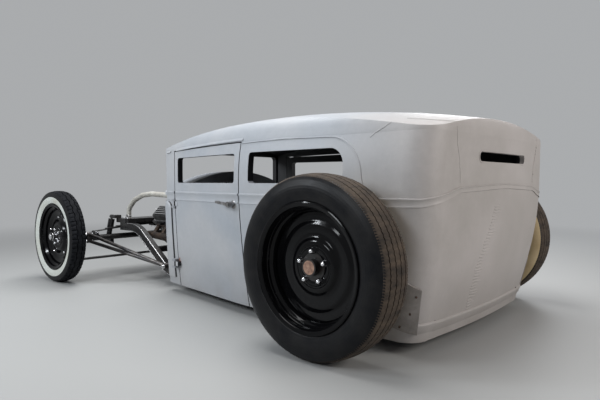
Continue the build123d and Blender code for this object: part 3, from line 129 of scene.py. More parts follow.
softbox("ceiling_light", (0.4, 0.2, 4.6), (0.1, 0.0, 0.4), 4.6, 2.6, 238, (1, 1, 1))
for number, across in enumerate((4.0, 4.35, 4.7)):
    softbox(f"side_tube_{number}", (1.9, across, 2.5), (0.2, 0.3, 0.4), 0.1, 1.5, 30, (0.9, 0.95, 1.0))
softbox("side_light", (-0.6, 5.2, 2.9), (-0.2, 0.3, 0.5), 1.5, 0.9, 66, (0.92, 0.96, 1.0))
softbox("rear_light", (-5.6, -0.4, 2.6), (-1.2, 0.0, 0.5), 2.4, 1.8, 120, (1.0, 0.94, 0.89))
softbox("far_side_light", (0.4, -5.4, 3.0), (0.1, -0.4, 0.5), 3.0, 1.4, 90, (0.95, 0.97, 1.0))

camera_data = bpy.data.cameras.new("camera")
camera_data.sensor_width = 36
camera_data.lens = 31.28
camera = place_in_scene("camera", camera_data)
camera.location = (ahead(-1.4536), 2.6359, 0.7744)
heading, tilt = math.radians(-48.009), math.radians(-2.0425)
looking = Vector((math.cos(heading) * math.cos(tilt), math.sin(heading) * math.cos(tilt), math.sin(tilt)))
camera.rotation_mode = "QUATERNION"
camera.rotation_quaternion = looking.to_track_quat("-Z", "Y")
bpy.context.scene.camera = camera
bpy.context.scene.view_settings.view_transform = "Standard"

# ---------------------------------------------------------------------------
# Body panels: sheet steel in sanded grey primer, outside only.
# Inside, the panels are nearly black: painted shade for the dark inside of the body,
# kept off the slot window's lips. The primer is cooler and warmer in wide
# soft patches, with fine sanding marks and a little grime towards the ground.


class Finish:
    """One material and its slot, with short calls for the few kinds of nodes that it is made of."""

    def __init__(self, name, colour, roughness, metallic=0.0, slot=None, **plain):
        self.material = bpy.data.materials.new(name)
        self.material.use_nodes = True
        self.slot = slot
        self.tree = self.material.node_tree
        plain.update(Base_Color=colour, Roughness=roughness, Metallic=metallic)
        for socket, value in plain.items():
            self.drive(socket.replace("_", " "), value)
        self.place = self.add("TexCoord", {}, "Object")
        self.normal = self.place.node.outputs["Normal"]

    def add(self, kind, inputs, output=0, **settings):
        return add_node(self.tree, kind, inputs, output, **settings)

    def drive(self, socket, value):
        feed(self.tree, self.tree.nodes["Principled BSDF"].inputs[socket], value)

    def cloud(self, value):
        """A noise from its scale, or from its scale, detail and roughness; an output stays as it is."""
        if isinstance(value, bpy.types.NodeSocket):
            return value
        return self.noise(*value) if isinstance(value, tuple) else self.noise(value)

    def noise(self, scale, detail=3.0, rough=0.55, stretch=None, distort=0.0):
        place = self.vector("MULTIPLY", self.place, stretch) if stretch else self.place
        cloud = {"Vector": place, "Scale": scale, "Detail": detail, "Roughness": rough, "Distortion": distort}
        return self.add("TexNoise", cloud, "Fac")

    def ramp(self, value, *stops):
        """Colours or greys between the stops, each a value and its colour."""
        band = self.add("ValToRGB", {"Fac": value}, "Color")
        points = band.node.color_ramp.elements
        while len(points) < len(stops):
            points.new(0.5)
        for point, (position, colour) in zip(points, stops):
            point.position = position
            point.color = (*colour, 1) if isinstance(colour, tuple) else (colour, colour, colour, 1)
        return band

    def math(self, kind, *values):
        return self.add("Math", dict(enumerate(values)), operation=kind)

    def vector(self, kind, first, second=None, output=0):
        inputs = {0: first} if second is None else {0: first, 1: second}
        return self.add("VectorMath", inputs, output, operation=kind)

    def mix(self, share, first, second):
        """Two colours mixed; sockets 6 and 7 of this node take colours, and output 2 gives one."""
        return self.add("Mix", {0: share, 6: first, 7: second}, 2, data_type="RGBA")

    def along(self, axis):
        """Place along X, Y or Z, in metres."""
        return self.add("SeparateXYZ", {0: self.place}, axis)

    def spread(self, value, low, high):
        """0 at the low value and 1 at the high one, even between."""
        return self.add("MapRange", {"Value": value, "From Min": low, "From Max": high}, "Result")

    def colour(self, value, *stops):
        self.drive("Base Color", self.ramp(self.cloud(value), *stops) if stops else value)

    def rough(self, value, *stops):
        self.drive("Roughness", self.ramp(self.cloud(value), *stops) if stops else value)

    def bump(self, value, depth, strength=1.0):
        lift = {"Distance": depth, "Strength": strength, "Height": self.cloud(value)}
        self.drive("Normal", self.add("Bump", lift))

    def paint(self, *nodes):
        """Gives the finish to CAD pieces in place of their plain one."""
        for node in nodes:
            frame["nodes"][node].data.materials.clear()
            frame["nodes"][node].data.materials.append(self.material)


def facing_out(finish, centre):
    """1 on the faces of a shell that look away from its centre, 0 on those that look in."""
    reach = finish.vector("SUBTRACT", finish.place, centre)
    return finish.math("GREATER_THAN", finish.vector("DOT_PRODUCT", reach, finish.normal, "Value"), 0.02)


def near(finish, centre, low, high):
    """1 within the low distance of a place, fading to 0 at the high one."""
    return finish.spread(finish.vector("DISTANCE", finish.place, centre, "Value"), high, low)


SLOT_WINDOW_Z = 0.89
BLISTER = (ahead(1.53), 0.55, 0.235)
# near-black painted shade for the faces that look into the body
INSIDE_PAINTED_SHADE = (0.012, 0.012, 0.014)
primer = Finish("grey_primer", (0.4, 0.41, 0.43), 0.5, slot="grey_primer", Specular_IOR_Level=0.4)
cool = primer.noise(1.5, 2.0, distort=0.4)
cool = primer.ramp(cool, (0.34, (0.335, 0.365, 0.405)), (0.66, (0.42, 0.43, 0.445)))
warm = primer.noise(2.2, 2.0, distort=0.3)
warm = primer.ramp(warm, (0.34, (0.37, 0.345, 0.325)), (0.66, (0.44, 0.41, 0.395)))
patches = primer.mix(primer.spread(primer.along("X"), ahead(0.15), ahead(-0.42)), cool, warm)
sanding = primer.noise(24, 4.0, 0.65)
sanded = primer.mix(0.07, patches, primer.ramp(sanding, (0.3, 0.2), (0.7, 0.7)))
grime = primer.math("MULTIPLY", primer.noise(9, 5.0, 0.6), primer.spread(primer.along("Z"), 0.36, 0.05))
dusty = primer.mix(primer.math("MULTIPLY", grime, 0.6), sanded, (0.22, 0.195, 0.17))
blister = primer.math("MULTIPLY", near(primer, BLISTER, 0.01, 0.05), primer.noise(60, 4.0, 0.7))
rusty = primer.mix(primer.spread(blister, 0.3, 0.52), dusty, (0.27, 0.14, 0.11))
at_slot = primer.math("COMPARE", primer.along("Z"), SLOT_WINDOW_Z, 0.03)
slot_lip = primer.math("MULTIPLY", primer.math("LESS_THAN", primer.along("X"), ahead(-0.4365)), at_slot)
outside = primer.math("MAXIMUM", facing_out(primer, (ahead(0.6), 0, 0.62)), slot_lip)
# painted shade: faces that look into the body take the near-black colour, while the slot window's lips keep
# the primer
primer.colour(primer.mix(outside, INSIDE_PAINTED_SHADE, rusty))
primer.rough(sanding, (0.25, 0.4), (0.75, 0.56))
primer.bump((150, 3.0, 0.6), 0.0005, 0.5)
primer.paint("cowl", "roof_panel", "rear_panel", "rear_roll_pan",
             "left_quarter_panel", "right_quarter_panel", "left_door", "right_door")

# ---------------------------------------------------------------------------
# Belt mouldings, drip rails and seams: pressed into or welded on the panels.
# Each lies on the panel's own surface: rays from outside find the skin, and a
# small section is drawn along the points that they hit.
SIDES = ((1, "left"), (-1, "right"))
SINK = -0.0015
RAY_REACH = 4.0
skins = {}


def first_hit(nodes, start, direction):
    """Where a ray first meets some CAD pieces, and the way that the skin faces there."""
    found = []
    for node in nodes:
        if node not in skins:
            mesh = frame["nodes"][node].data
            corners = [v.co.copy() for v in mesh.vertices]
            skins[node] = BVHTree.FromPolygons(corners, [tuple(p.vertices) for p in mesh.polygons])
        found.append(skins[node].ray_cast(start, direction, RAY_REACH))
    found = [hit for hit in found if hit[0] is not None]
    if not found:
        return None
    place, facing, _, _ = min(found, key=lambda hit: hit[3])
    return place, facing if facing.dot(direction) < 0 else -facing


def side_ray(distance, z, side):
    return Vector((ahead(distance), side * 1.5, z)), Vector((0, -side, 0))


def rear_ray(y, z):
    return Vector((ahead(-1.5), y, z)), Vector((1, 0, 0))


def join_rings(mesh, rings, closed=False):
    """Faces between rings of points; closed also joins the last to the first, and else both are filled."""
    for first, second in zip(rings, rings[1:] + rings[:1] if closed else rings[1:]):
        for k in range(len(first)):
            after = (k + 1) % len(first)
            mesh.faces.new((first[k], first[after], second[after], second[k]))
    if not closed:
        mesh.faces.new(rings[0][::-1])
        mesh.faces.new(rings[-1])


def lay_strip(mesh, panels, rays, section, closed=False):
    """A strip along the places that the rays hit.

    section holds (across, proud) pairs from the upper edge to the lower one; each ray may
    bring its own width as a third value."""
    hits = [(first_hit(panels, start, direction), own) for start, direction, *own in rays]
    hits = [(*hit, own[0] if own else 1.0) for hit, own in hits if hit]
    rows = []
    last = len(hits) - 1
    for i, (place, facing, wide) in enumerate(hits):
        after, before = ((i + 1) % len(hits), i - 1) if closed else (min(i + 1, last), max(i - 1, 0))
        across = (hits[after][0] - hits[before][0]).cross(facing).normalized()
        if across.z > 0.3 and not closed:
            across = -across
        rows.append([mesh.verts.new(place + across * a * wide + facing * p) for a, p in section])
    join_rings(mesh, rows, closed)


def finished(mesh, name, finish, body="chassis_and_body", crease_angle=35):
    """The finished piece from a bmesh, smooth apart from its sharp edges, riding on its body."""
    bmesh.ops.recalc_face_normals(mesh, faces=mesh.faces)
    data = bpy.data.meshes.new(name)
    mesh.to_mesh(data)
    mesh.free()
    data.shade_smooth()
    data.materials.append(finish.material)
    piece = place_in_scene(name, data)
    piece.modifiers.new("crease", "EDGE_SPLIT").split_angle = math.radians(crease_angle)
    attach(piece, body)
    return piece


def add_moulding(name, panels, rays, section, finish=primer, body="chassis_and_body", closed=False):
    mesh = bmesh.new()
    lay_strip(mesh, panels, rays, section, closed)
    finished(mesh, name, finish, body, 50)


def steps(start, end, count):
    return [start + (end - start) * i / (count - 1) for i in range(count)]


def round_steps(count, start=0.0):
    """The cosine and sine of evenly spaced turns."""
    turns = [start + 2 * math.pi * k / count for k in range(count)]
    return [(math.cos(turn), math.sin(turn)) for turn in turns]


def half_round(width, height):
    """The section of a half-round bead, sunk a little into the skin."""
    arc = [(-math.cos(turn) * width / 2, math.sin(turn) * height) for turn in steps(0, math.pi, 7)]
    return [(-width / 2, SINK)] + arc + [(width / 2, SINK)]


def between_points(line, value):
    """The height read off a line of (place, height) points that fall in place."""
    for (first, low), (second, high) in zip(line, line[1:]):
        if first >= value >= second:
            return low + (high - low) * (first - value) / (first - second)
    return line[0][1] if value > line[0][0] else line[-1][1]


BELT_BAND = [(-1.0, SINK), (-0.95, 0.0034), (-0.8, 0.005), (-0.62, 0.0046), (-0.45, 0.0018), (0.6, 0.0016),
             (0.82, 0.0036), (0.96, 0.004), (1.0, 0.0024), (1.02, SINK)]
SIDE_BELT = [(1.72, 0.678), (0.3, 0.680), (-0.2, 0.682), (-0.32, 0.684)]
SIDE_BELT_HALF = [(1.72, 0.030), (0.3, 0.029), (-0.2, 0.020), (-0.32, 0.0205)]
REAR_BELT = [(0.7, 0.6975), (0.535, 0.724), (0.458, 0.738), (0.06, 0.7505), (0.0, 0.7505)]
DOOR_REAR, DOOR_FRONT, COWL_FRONT = 0.7405, 1.5435, 1.712
CORNER_START = -0.28
DRIP_EDGE = [(-0.014, SINK), (-0.009, 0.0008), (0.0, 0.0042), (0.003, 0.0048), (0.0048, 0.0036),
             (0.0052, SINK)]
DRIP_CHANNEL = [(-0.006, SINK), (-0.0035, 0.0036), (0.0, 0.0044), (0.0025, 0.0036), (0.0034, SINK)]


def belt_ray(distance, side):
    """A ray to the side belt, and half the belt's width there."""
    ray = side_ray(distance, between_points(SIDE_BELT, distance), side)
    return (*ray, between_points(SIDE_BELT_HALF, distance))


def corner_ray(turn, side, z):
    """A ray at a rounded rear corner: from beside the car at turn 0, from behind it at pi / 2."""
    outward = Vector((-math.sin(turn), side * math.cos(turn), 0))
    return Vector((ahead(CORNER_START), side * 0.5, z)) + outward, -outward


REAR_BODY = ("left_quarter_panel", "right_quarter_panel", "rear_panel", "rear_roll_pan")
DOOR_TOP = [(1.66, 0.9655), (1.54, 0.9748), (1.3, 0.9858), (1.0, 0.9945), (0.745, 0.9985)]
QUARTER_WINDOW_TOP = [(0.72, 0.9855), (0.39, 0.992), (0.1, 0.985)]
# the cowl's side swells into a rounded flange that once carried the hood's edge
COWL_FLANGE = [(-0.057, SINK), (-0.0545, 0.006), (-0.046, 0.0115), (-0.02, 0.0155), (0.012, 0.0155),
               (0.04, 0.011), (0.053, 0.005), (0.057, SINK)]
FLANGE_WIDTHS = [(0.636, 0.12), (0.633, 0.42), (0.626, 0.68), (0.614, 0.88), (0.6, 1.0)]
FLANGE_WIDTHS += [(z, 1.0) for z in steps(0.58, 0.112, 16)]
for side, hand in SIDES:
    rays = [belt_ray(d, side) for d in steps(COWL_FRONT, DOOR_FRONT + 0.01, 12)]
    add_moulding(f"{hand}_cowl_belt", ["cowl"], rays, BELT_BAND)
    rays = [belt_ray(d, side) for d in steps(DOOR_FRONT - 0.012, DOOR_REAR + 0.004, 40)]
    add_moulding(f"{hand}_door_belt", [f"{hand}_door"], rays, BELT_BAND, body=f"{hand}_door")
    for panel, share in (("cowl", [1.69, 1.66, 1.63, 1.6]), ("roof_panel", steps(1.55, 0.72, 24))):
        rays = [side_ray(d, between_points(DOOR_TOP, d) + 0.0055, side) for d in share]
        add_moulding(f"{hand}_{panel}_drip", [panel, "roof_panel"], rays, DRIP_EDGE)
    channel = [(d, between_points(QUARTER_WINDOW_TOP, d)) for d in steps(0.725, 0.1, 14)]
    for turn in steps(0.1, math.pi / 2, 14):
        channel.append((0.1 - 0.2 * math.sin(turn), 0.79 + 0.195 * math.cos(turn)))
    channel += [(-0.1065, 0.77), (-0.108, 0.74), (-0.107, 0.712)]
    rays = [side_ray(d, z, side) for d, z in channel]
    add_moulding(f"{hand}_quarter_drip", [f"{hand}_quarter_panel"], rays, DRIP_CHANNEL)
    flange = COWL_FLANGE if side > 0 else [(-across, proud) for across, proud in COWL_FLANGE[::-1]]
    rays = [(*side_ray(1.65, z, side), width) for z, width in FLANGE_WIDTHS]
    add_moulding(f"{hand}_cowl_flange", ["cowl"], rays, flange)

rear_belt = [belt_ray(d, 1) for d in steps(DOOR_REAR - 0.009, CORNER_START, 48)]
for side in (1, -1):
    round_corner = []
    for turn in steps(0.04, 1.44, 20):
        height = 0.684 + (0.724 - 0.684) * max(turn - 0.5, 0) / 0.94
        round_corner.append((*corner_ray(turn, side, height), 0.0205 - 0.004 * turn))
    rear_belt += round_corner[::side]
    if side == 1:
        for y in steps(0.5, -0.5, 50):
            rear_belt.append((*rear_ray(y, between_points(REAR_BELT, abs(y))), 0.012 + 0.004 * abs(y)))
rear_belt += [belt_ray(d, -1) for d in steps(CORNER_START, DOOR_REAR - 0.009, 48)]
add_moulding("rear_belt", REAR_BODY, rear_belt, BELT_BAND)

# hand-laid weld beads where the roof skin and the rear corners were let in, ground but not filled
weld_dots = random.Random(4)
WELD_BEAD = half_round(1.0, 0.0019)
DOWN_CORNER = [(1.0163, 0.515), (0.9316, 0.4995), (0.8677, 0.4754), (0.765, 0.4633)]
for side, hand in SIDES:
    rays = []
    for z in steps(1.012, 0.768, 60):
        y = between_points(DOWN_CORNER, z) + weld_dots.uniform(-0.001, 0.001)
        rays.append((*rear_ray(side * y, z), weld_dots.uniform(0.005, 0.0125)))
    add_moulding(f"{hand}_corner_weld", REAR_BODY, rays, WELD_BEAD)
    rays = []
    for i in range(40):
        x, z = -0.135 - 0.1 * i / 39, 0.972 + 0.059 * i / 39
        z += weld_dots.uniform(-0.0015, 0.0015) + 0.002 * math.sin(i * 0.16)
        rays.append((*side_ray(x, z, side), weld_dots.uniform(0.004, 0.008)))
    add_moulding(f"{hand}_roof_side_weld", REAR_BODY, rays, WELD_BEAD)
    rays = []
    for i in range(44):
        y = 0.575 - 0.055 * i / 43 + weld_dots.uniform(-0.0012, 0.0012)
        start = Vector((ahead(-0.245 - 0.2 * i / 43), side * y, 1.6))
        rays.append((start, Vector((0, 0, -1)), weld_dots.uniform(0.004, 0.008)))
    add_moulding(f"{hand}_roof_top_weld", REAR_BODY, rays, WELD_BEAD)

# the slot window's rolled rim
SLOT_STRAIGHT, SLOT_END = 0.2685, 0.0265
slot_round = [rear_ray(math.copysign(SLOT_STRAIGHT, c) + SLOT_END * c, SLOT_WINDOW_Z + SLOT_END * s)
              for c, s in round_steps(120) if abs(c) > 0.02]
add_moulding("slot_window_rim", ["rear_panel"], slot_round, half_round(0.009, 0.003), closed=True)

# hammered ripples left of the middle of the rear panel, where a dent was worked out
hammer = random.Random(9)
RIPPLE = half_round(1.0, 0.0016)
mesh = bmesh.new()
for number in range(36):
    z = 0.12 + 0.0152 * number + hammer.uniform(-0.002, 0.002)
    start_y = 0.226 - 0.135 * min(max((z - 0.36) / 0.32, 0), 1) + hammer.uniform(-0.004, 0.004)
    length = 0.07 + hammer.uniform(-0.02, 0.025)
    rays = []
    for share in steps(0, 1, 14):
        ray = rear_ray(start_y - length * share, z + 0.0014 * math.sin(7 * share + number))
        rays.append((*ray, 0.003 + 0.0075 * math.sin(math.pi * share ** 0.6)))
    lay_strip(mesh, REAR_BODY, rays, RIPPLE)
finished(mesh, "tail_ripples", primer, crease_angle=50)

# the rolled lip along the bottom of the tail
PAN_LIP = [(-0.024, SINK), (-0.0225, 0.0065), (-0.019, 0.0095), (-0.013, 0.0095), (0.012, 0.005),
           (0.026, 0.001), (0.027, SINK)]
lip_rays = []
for side in (1, -1):
    lip_rays += [corner_ray(turn, side, 0.128) for turn in steps(0.05, 1.44, 22)][::side]
    if side == 1:
        lip_rays += [rear_ray(y, 0.122) for y in steps(0.5, -0.5, 40)]
add_moulding("tail_lip", REAR_BODY, lip_rays, PAN_LIP)

# ---------------------------------------------------------------------------
# Splash patches: a thin steel sheet behind each rear wheel, bent over the
# corner and held by four rusty screws, in a darker, blotchy warm-grey primer.
patch_primer = Finish("patch_primer", (0.24, 0.225, 0.21), 0.6, slot="grey_primer", Specular_IOR_Level=0.3)
patch_cloud = patch_primer.noise(12, 6.0, 0.65)
patch_primer.colour(patch_cloud, (0.3, (0.19, 0.175, 0.165)), (0.7, (0.33, 0.31, 0.295)))
patch_primer.bump((150, 3.0), 0.0006, 0.5)
PATCH_CORNERS = [(-0.21, 0.41), (-0.357, 0.312), (-0.3135, 0.105), (-0.2, 0.135)]
PATCH_STEPS = 14
PATCH_THICKNESS = 0.0045


def part_way(first, second, share):
    return [a * (1 - share) + b * share for a, b in zip(first, second)]


def add_patch(name, side):
    """A flat sheet laid over the panels, thicker towards its rear edge, which stands off."""
    mesh = bmesh.new()
    grid = [(i, j) for i in range(PATCH_STEPS) for j in range(PATCH_STEPS)]
    front, back = {}, {}
    for i, j in grid:
        s, t = i / (PATCH_STEPS - 1), j / (PATCH_STEPS - 1)
        upper, lower = (part_way(PATCH_CORNERS[a], PATCH_CORNERS[b], s) for a, b in ((0, 1), (3, 2)))
        place, facing = first_hit(REAR_BODY, *side_ray(*part_way(upper, lower, t), side))
        front[i, j] = mesh.verts.new(place + facing * PATCH_THICKNESS * (1 + 2.2 * s * s))
        back[i, j] = mesh.verts.new(place - facing * 0.001)
    for i, j in grid:
        if max(i, j) < PATCH_STEPS - 1:
            corners = ((i, j), (i + 1, j), (i + 1, j + 1), (i, j + 1))
            mesh.faces.new([front[corner] for corner in corners])
            mesh.faces.new([back[corner] for corner in corners[::-1]])
    last = PATCH_STEPS - 1
    rim = [(i, 0) for i in range(last)] + [(last, j) for j in range(last)]
    rim += [(i, last) for i in range(last, 0, -1)] + [(0, j) for j in range(last, 0, -1)]
    for a, b in zip(rim, rim[1:] + rim[:1]):
        mesh.faces.new((front[a], back[a], back[b], front[b]))
    finished(mesh, name, patch_primer, crease_angle=40)


for side, hand in SIDES:
    add_patch(f"{hand}_splash_patch", side)

# ---------------------------------------------------------------------------
# Rear tyres: wide rubber tyres mounted with their cream band turned in. Five
# worn ribs stand between zigzag grooves, with toothed shoulders, brown with
# floor dust; the side walls are smooth and slightly glossy.


def wheel_centre(wheel):
    """The middle of a wheel, on its axle; wheel is left_rear and the like."""
    return Vector(joints[f"{wheel}_wheel_spin"]["pos_m"])


def add_lathe(name, wheel, side, profile, segments, finish, pitch=2, tooth_at=1, crease_angle=35):
    """Turns a closed profile of (outboard, radius, zigzag, tooth, zone) round a wheel's axle.

    The last three may be left out. A zigzag point changes sides after each pitch, a number of
    steps, and a tooth point dips once in it. zone is the material number of the edge that
    starts there; a negative one alternates with 0."""
    shape = [(*point, 0, 0, 0)[:5] for point in profile]
    centre = wheel_centre(wheel)
    mesh = bmesh.new()
    rings = []
    for k, (c, s) in enumerate(round_steps(segments)):
        swing = 1 if k % (2 * pitch) < pitch else -1
        ring = []
        for out, radius, zigzag, tooth, _ in shape:
            reach = radius - (tooth if k % pitch == tooth_at else 0)
            spot = Vector((reach * c, side * (out + zigzag * swing), reach * s))
            ring.append(mesh.verts.new(centre + spot))
        rings.append(ring)
    for k, (ring, following) in enumerate(zip(rings, rings[1:] + rings[:1])):
        for i, (*_, zone) in enumerate(shape):
            j = (i + 1) % len(shape)
            face = mesh.faces.new((ring[i], ring[j], following[j], following[i]))
            face.material_index = max(zone if k % 2 else abs(zone), 0)
    return finished(mesh, name, finish, f"{wheel}_wheel", crease_angle)


def from_axle(finish, centre, radius_low, radius_high):
    """Distance from a wheel's axle, 0 at the low radius and 1 at the high one."""
    flat = finish.vector("MULTIPLY", finish.vector("SUBTRACT", finish.place, centre), (1, 0, 1))
    return finish.spread(finish.vector("LENGTH", flat, output="Value"), radius_low, radius_high)


def side_wall_rubber(wheel, radius_low, radius_high):
    """Black rubber with faint moulded rings, greyer where hands and dust have been."""
    wall = Finish(f"{wheel}_side_wall", (0.008, 0.008, 0.01), 0.4, slot="tyre", Specular_IOR_Level=0.14)
    scuff = wall.noise(11, 5.0, 0.6)
    wall.colour(scuff, (0.35, (0.004, 0.0045, 0.006)), (0.7, (0.0125, 0.012, 0.012)))
    wall.rough(scuff, (0.3, 0.3), (0.75, 0.46))
    outward = from_axle(wall, wheel_centre(wheel), radius_low, radius_high)
    rings = wall.math("MULTIPLY", wall.math("SINE", wall.math("MULTIPLY", outward, 70.0)), 0.25)
    wall.bump(wall.math("ADD", rings, wall.noise(160, 2.0)), 0.0005, 0.6)
    return wall


def band_rubber(name, colour, clean, soiled):
    """The coloured band of a side wall, duller where it is soiled."""
    band = Finish(name, colour, 0.5)
    band.colour((7, 5.0, 0.6), (0.3, clean), (0.75, soiled))
    band.bump(120, 0.0004, 0.4)
    return band


def add_tyre(wheel, side, profile, segments, radii, band, tread, **pattern):
    """A tyre of three materials: 0 its side walls, 1 the coloured band and 2 the tread."""
    wall = side_wall_rubber(wheel, *radii)
    tyre = add_lathe(f"{wheel}_tyre_skin", wheel, side, profile, segments, wall, **pattern)
    tyre.data.materials.append(band.material)
    tyre.data.materials.append(tread.material)
    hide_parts(f"{wheel}_tyre")


cream_band = band_rubber("yellowed_band", (0.55, 0.43, 0.24), (0.6, 0.48, 0.29), (0.42, 0.31, 0.16))
tread_rubber = Finish("tread_rubber", (0.06, 0.05, 0.042), 0.85, Specular_IOR_Level=0.25)
tread_dust = tread_rubber.noise(30, 6.0, 0.7, stretch=(1, 0.25, 1))
tread_rubber.colour(tread_dust, (0.3, (0.022, 0.019, 0.017)), (0.72, (0.1, 0.075, 0.055)))
tread_rubber.bump((220, 4.0), 0.0012, 0.8)

REAR_TREAD_HALF, REAR_TREAD_RADIUS, REAR_CROWN = 0.080, 0.4058, 0.0085
REAR_GROOVES = (-0.054, -0.018, 0.018, 0.054)
GROOVE_HALF = 0.0032
GROOVE_DEPTH = 0.005


def rear_crown(out):
    return REAR_TREAD_RADIUS - REAR_CROWN * (out / REAR_TREAD_HALF) ** 2


REAR_WALL = [
    (0.0899, 0.2648), (0.0885, 0.272), (0.0885, 0.283), (0.0925, 0.2865), (0.094, 0.290), (0.0945, 0.2945),
    (0.0965, 0.301), (0.0986, 0.311), (0.1, 0.322), (0.1008, 0.335), (0.1003, 0.348), (0.0987, 0.359),
    (0.0963, 0.3685), (0.0935, 0.377), (0.0905, 0.384), (0.0875, 0.3895),
]
BUTTRESS = (0.0845, 0.3935, 0, 0.0045, -2)
SHOULDER_IN = REAR_TREAD_HALF - 0.006
SHOULDER_TOOTH = 0.0035
profile = [(-out, radius, 0, 0, 1 if 0.297 < radius < 0.388 else 0) for out, radius in REAR_WALL[:-1]]
profile += [(-REAR_WALL[-1][0], REAR_WALL[-1][1], 0, 0, -2), (-BUTTRESS[0], *BUTTRESS[1:])]
profile.append((-REAR_TREAD_HALF, rear_crown(REAR_TREAD_HALF), 0, SHOULDER_TOOTH, 2))
profile.append((-SHOULDER_IN, rear_crown(SHOULDER_IN), 0, 0, 2))
for groove in REAR_GROOVES:
    for edge, deep in ((-1, 0), (-0.8, GROOVE_DEPTH), (0.8, GROOVE_DEPTH), (1, 0)):
        out = groove + edge * GROOVE_HALF
        profile.append((out, rear_crown(out) - deep, 0.0016, 0, 2))
profile.append((SHOULDER_IN, rear_crown(SHOULDER_IN), 0, 0, 2))
profile.append((REAR_TREAD_HALF, rear_crown(REAR_TREAD_HALF), 0, SHOULDER_TOOTH, -2))
profile += [BUTTRESS, *REAR_WALL[::-1]]
for side, hand in SIDES:
    add_tyre(f"{hand}_rear", side, profile, 432, (0.265, 0.4), cream_band, tread_rubber)

# ---------------------------------------------------------------------------
# Rear wheels: deep pressed-steel wheels in gloss black, with a stepped barrel
# and a domed disc, held by five plated acorn nuts on studs round a rusty hub.
WHEEL_BLACK = (0.0025, 0.0025, 0.003)
gloss_black = Finish("wheel_gloss_black", WHEEL_BLACK, 0.1, slot="wheel_black", Specular_IOR_Level=0.16)
gloss_black.rough((22, 5.0), (0.35, 0.05), (0.75, 0.2))
nut_plate = Finish("nut_plate", (0.78, 0.78, 0.8), 0.1, 1.0, slot="bright_trim")
nut_plate.rough((90, 4.0), (0.35, 0.06), (0.75, 0.25))
RIM_THICKNESS, DISC_THICKNESS = 0.0046, 0.0056


def sheet_profile(line, thickness):
    """Closed outline of bent sheet metal, from the (outboard, radius) line of its middle."""
    there, back = [], []
    for i, (out, radius) in enumerate(line):
        before, after = line[max(i - 1, 0)], line[min(i + 1, len(line) - 1)]
        run = Vector((after[0] - before[0], after[1] - before[1])).normalized()
        there.append((out - run.y * thickness / 2, radius + run.x * thickness / 2))
        back.append((out + run.y * thickness / 2, radius - run.x * thickness / 2))
    return there + back[::-1]


def add_wheel(wheel, side, rim_line, disc_line, rim_segments):
    rim_sheet, disc_sheet = sheet_profile(rim_line, RIM_THICKNESS), sheet_profile(disc_line, DISC_THICKNESS)
    rim = add_lathe(f"{wheel}_rim", wheel, side, rim_sheet, rim_segments, gloss_black)
    add_lathe(f"{wheel}_disc", wheel, side, disc_sheet, 120, gloss_black)
    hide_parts(f"{wheel}_wheel")


def add_acorn_nut(mesh, base, outward, across_flats, height):
    """One hexagon nut with a domed cap, standing on base along outward."""
    outward = Vector(outward)
    first = outward.orthogonal().normalized()
    second = outward.cross(first)
    half = across_flats / 2
    rows = [(0, half, True), (0.45, half, True), (0.52, half, False)]
    for lift in (0.62, 0.72, 0.82, 0.9, 0.96, 1.0):
        rows.append((lift, half * 0.98 * math.sqrt(max(1 - ((lift - 0.55) / 0.46) ** 2, 0.01)), False))
    rings = []
    for lift, reach, hexagon in rows:
        ring = []
        for k, (c, s) in enumerate(round_steps(24)):
            wide = reach / math.cos((k + 2) % 4 * math.pi / 12 - math.pi / 6) if hexagon else reach
            ring.append(mesh.verts.new(base + outward * height * lift + (first * c + second * s) * wide))
        rings.append(ring)
    join_rings(mesh, rings)


def add_nut_ring(name, wheel, side, face, circle, across_flats, height, start=0.0):
    """Five nuts round the axle; face is how far out they sit."""
    mesh = bmesh.new()
    for c, s in round_steps(5, start):
        base = wheel_centre(wheel) + Vector((circle * s, side * face, circle * c))
        add_acorn_nut(mesh, base, (0, side, 0), across_flats, height)
    finished(mesh, name, nut_plate, f"{wheel}_wheel")


REAR_RIM_LINE = [
    (-0.0985, 0.2815), (-0.0965, 0.276), (-0.092, 0.2625), (-0.053, 0.2615), (-0.04, 0.2455), (0.03, 0.2445),
    (0.037, 0.2475), (0.042, 0.2545), (0.047, 0.2575), (0.056, 0.2585), (0.06, 0.2615), (0.088, 0.2625),
    (0.0925, 0.2655), (0.096, 0.2755), (0.0975, 0.2805), (0.1, 0.2815),
]
REAR_DISC_LINE = [
    (0.006, 0.2435), (0.012, 0.236), (0.0125, 0.222), (0.0105, 0.208), (0.0115, 0.196), (0.0165, 0.1895),
    (0.0175, 0.176), (0.0145, 0.150), (0.015, 0.133), (0.0185, 0.122), (0.0255, 0.1165), (0.0285, 0.108),
    (0.0285, 0.0965), (0.0255, 0.0925), (0.0255, 0.085), (0.0285, 0.0815), (0.0285, 0.056), (0.026, 0.0515),
    (0.026, 0.0425),
]
SOOT = ((0.4, (0.004, 0.004, 0.004)), (0.8, (0.02, 0.014, 0.011)))
RUST = ((0.3, (0.13, 0.07, 0.05)), (0.55, (0.33, 0.19, 0.13)), (0.75, (0.5, 0.34, 0.25)))
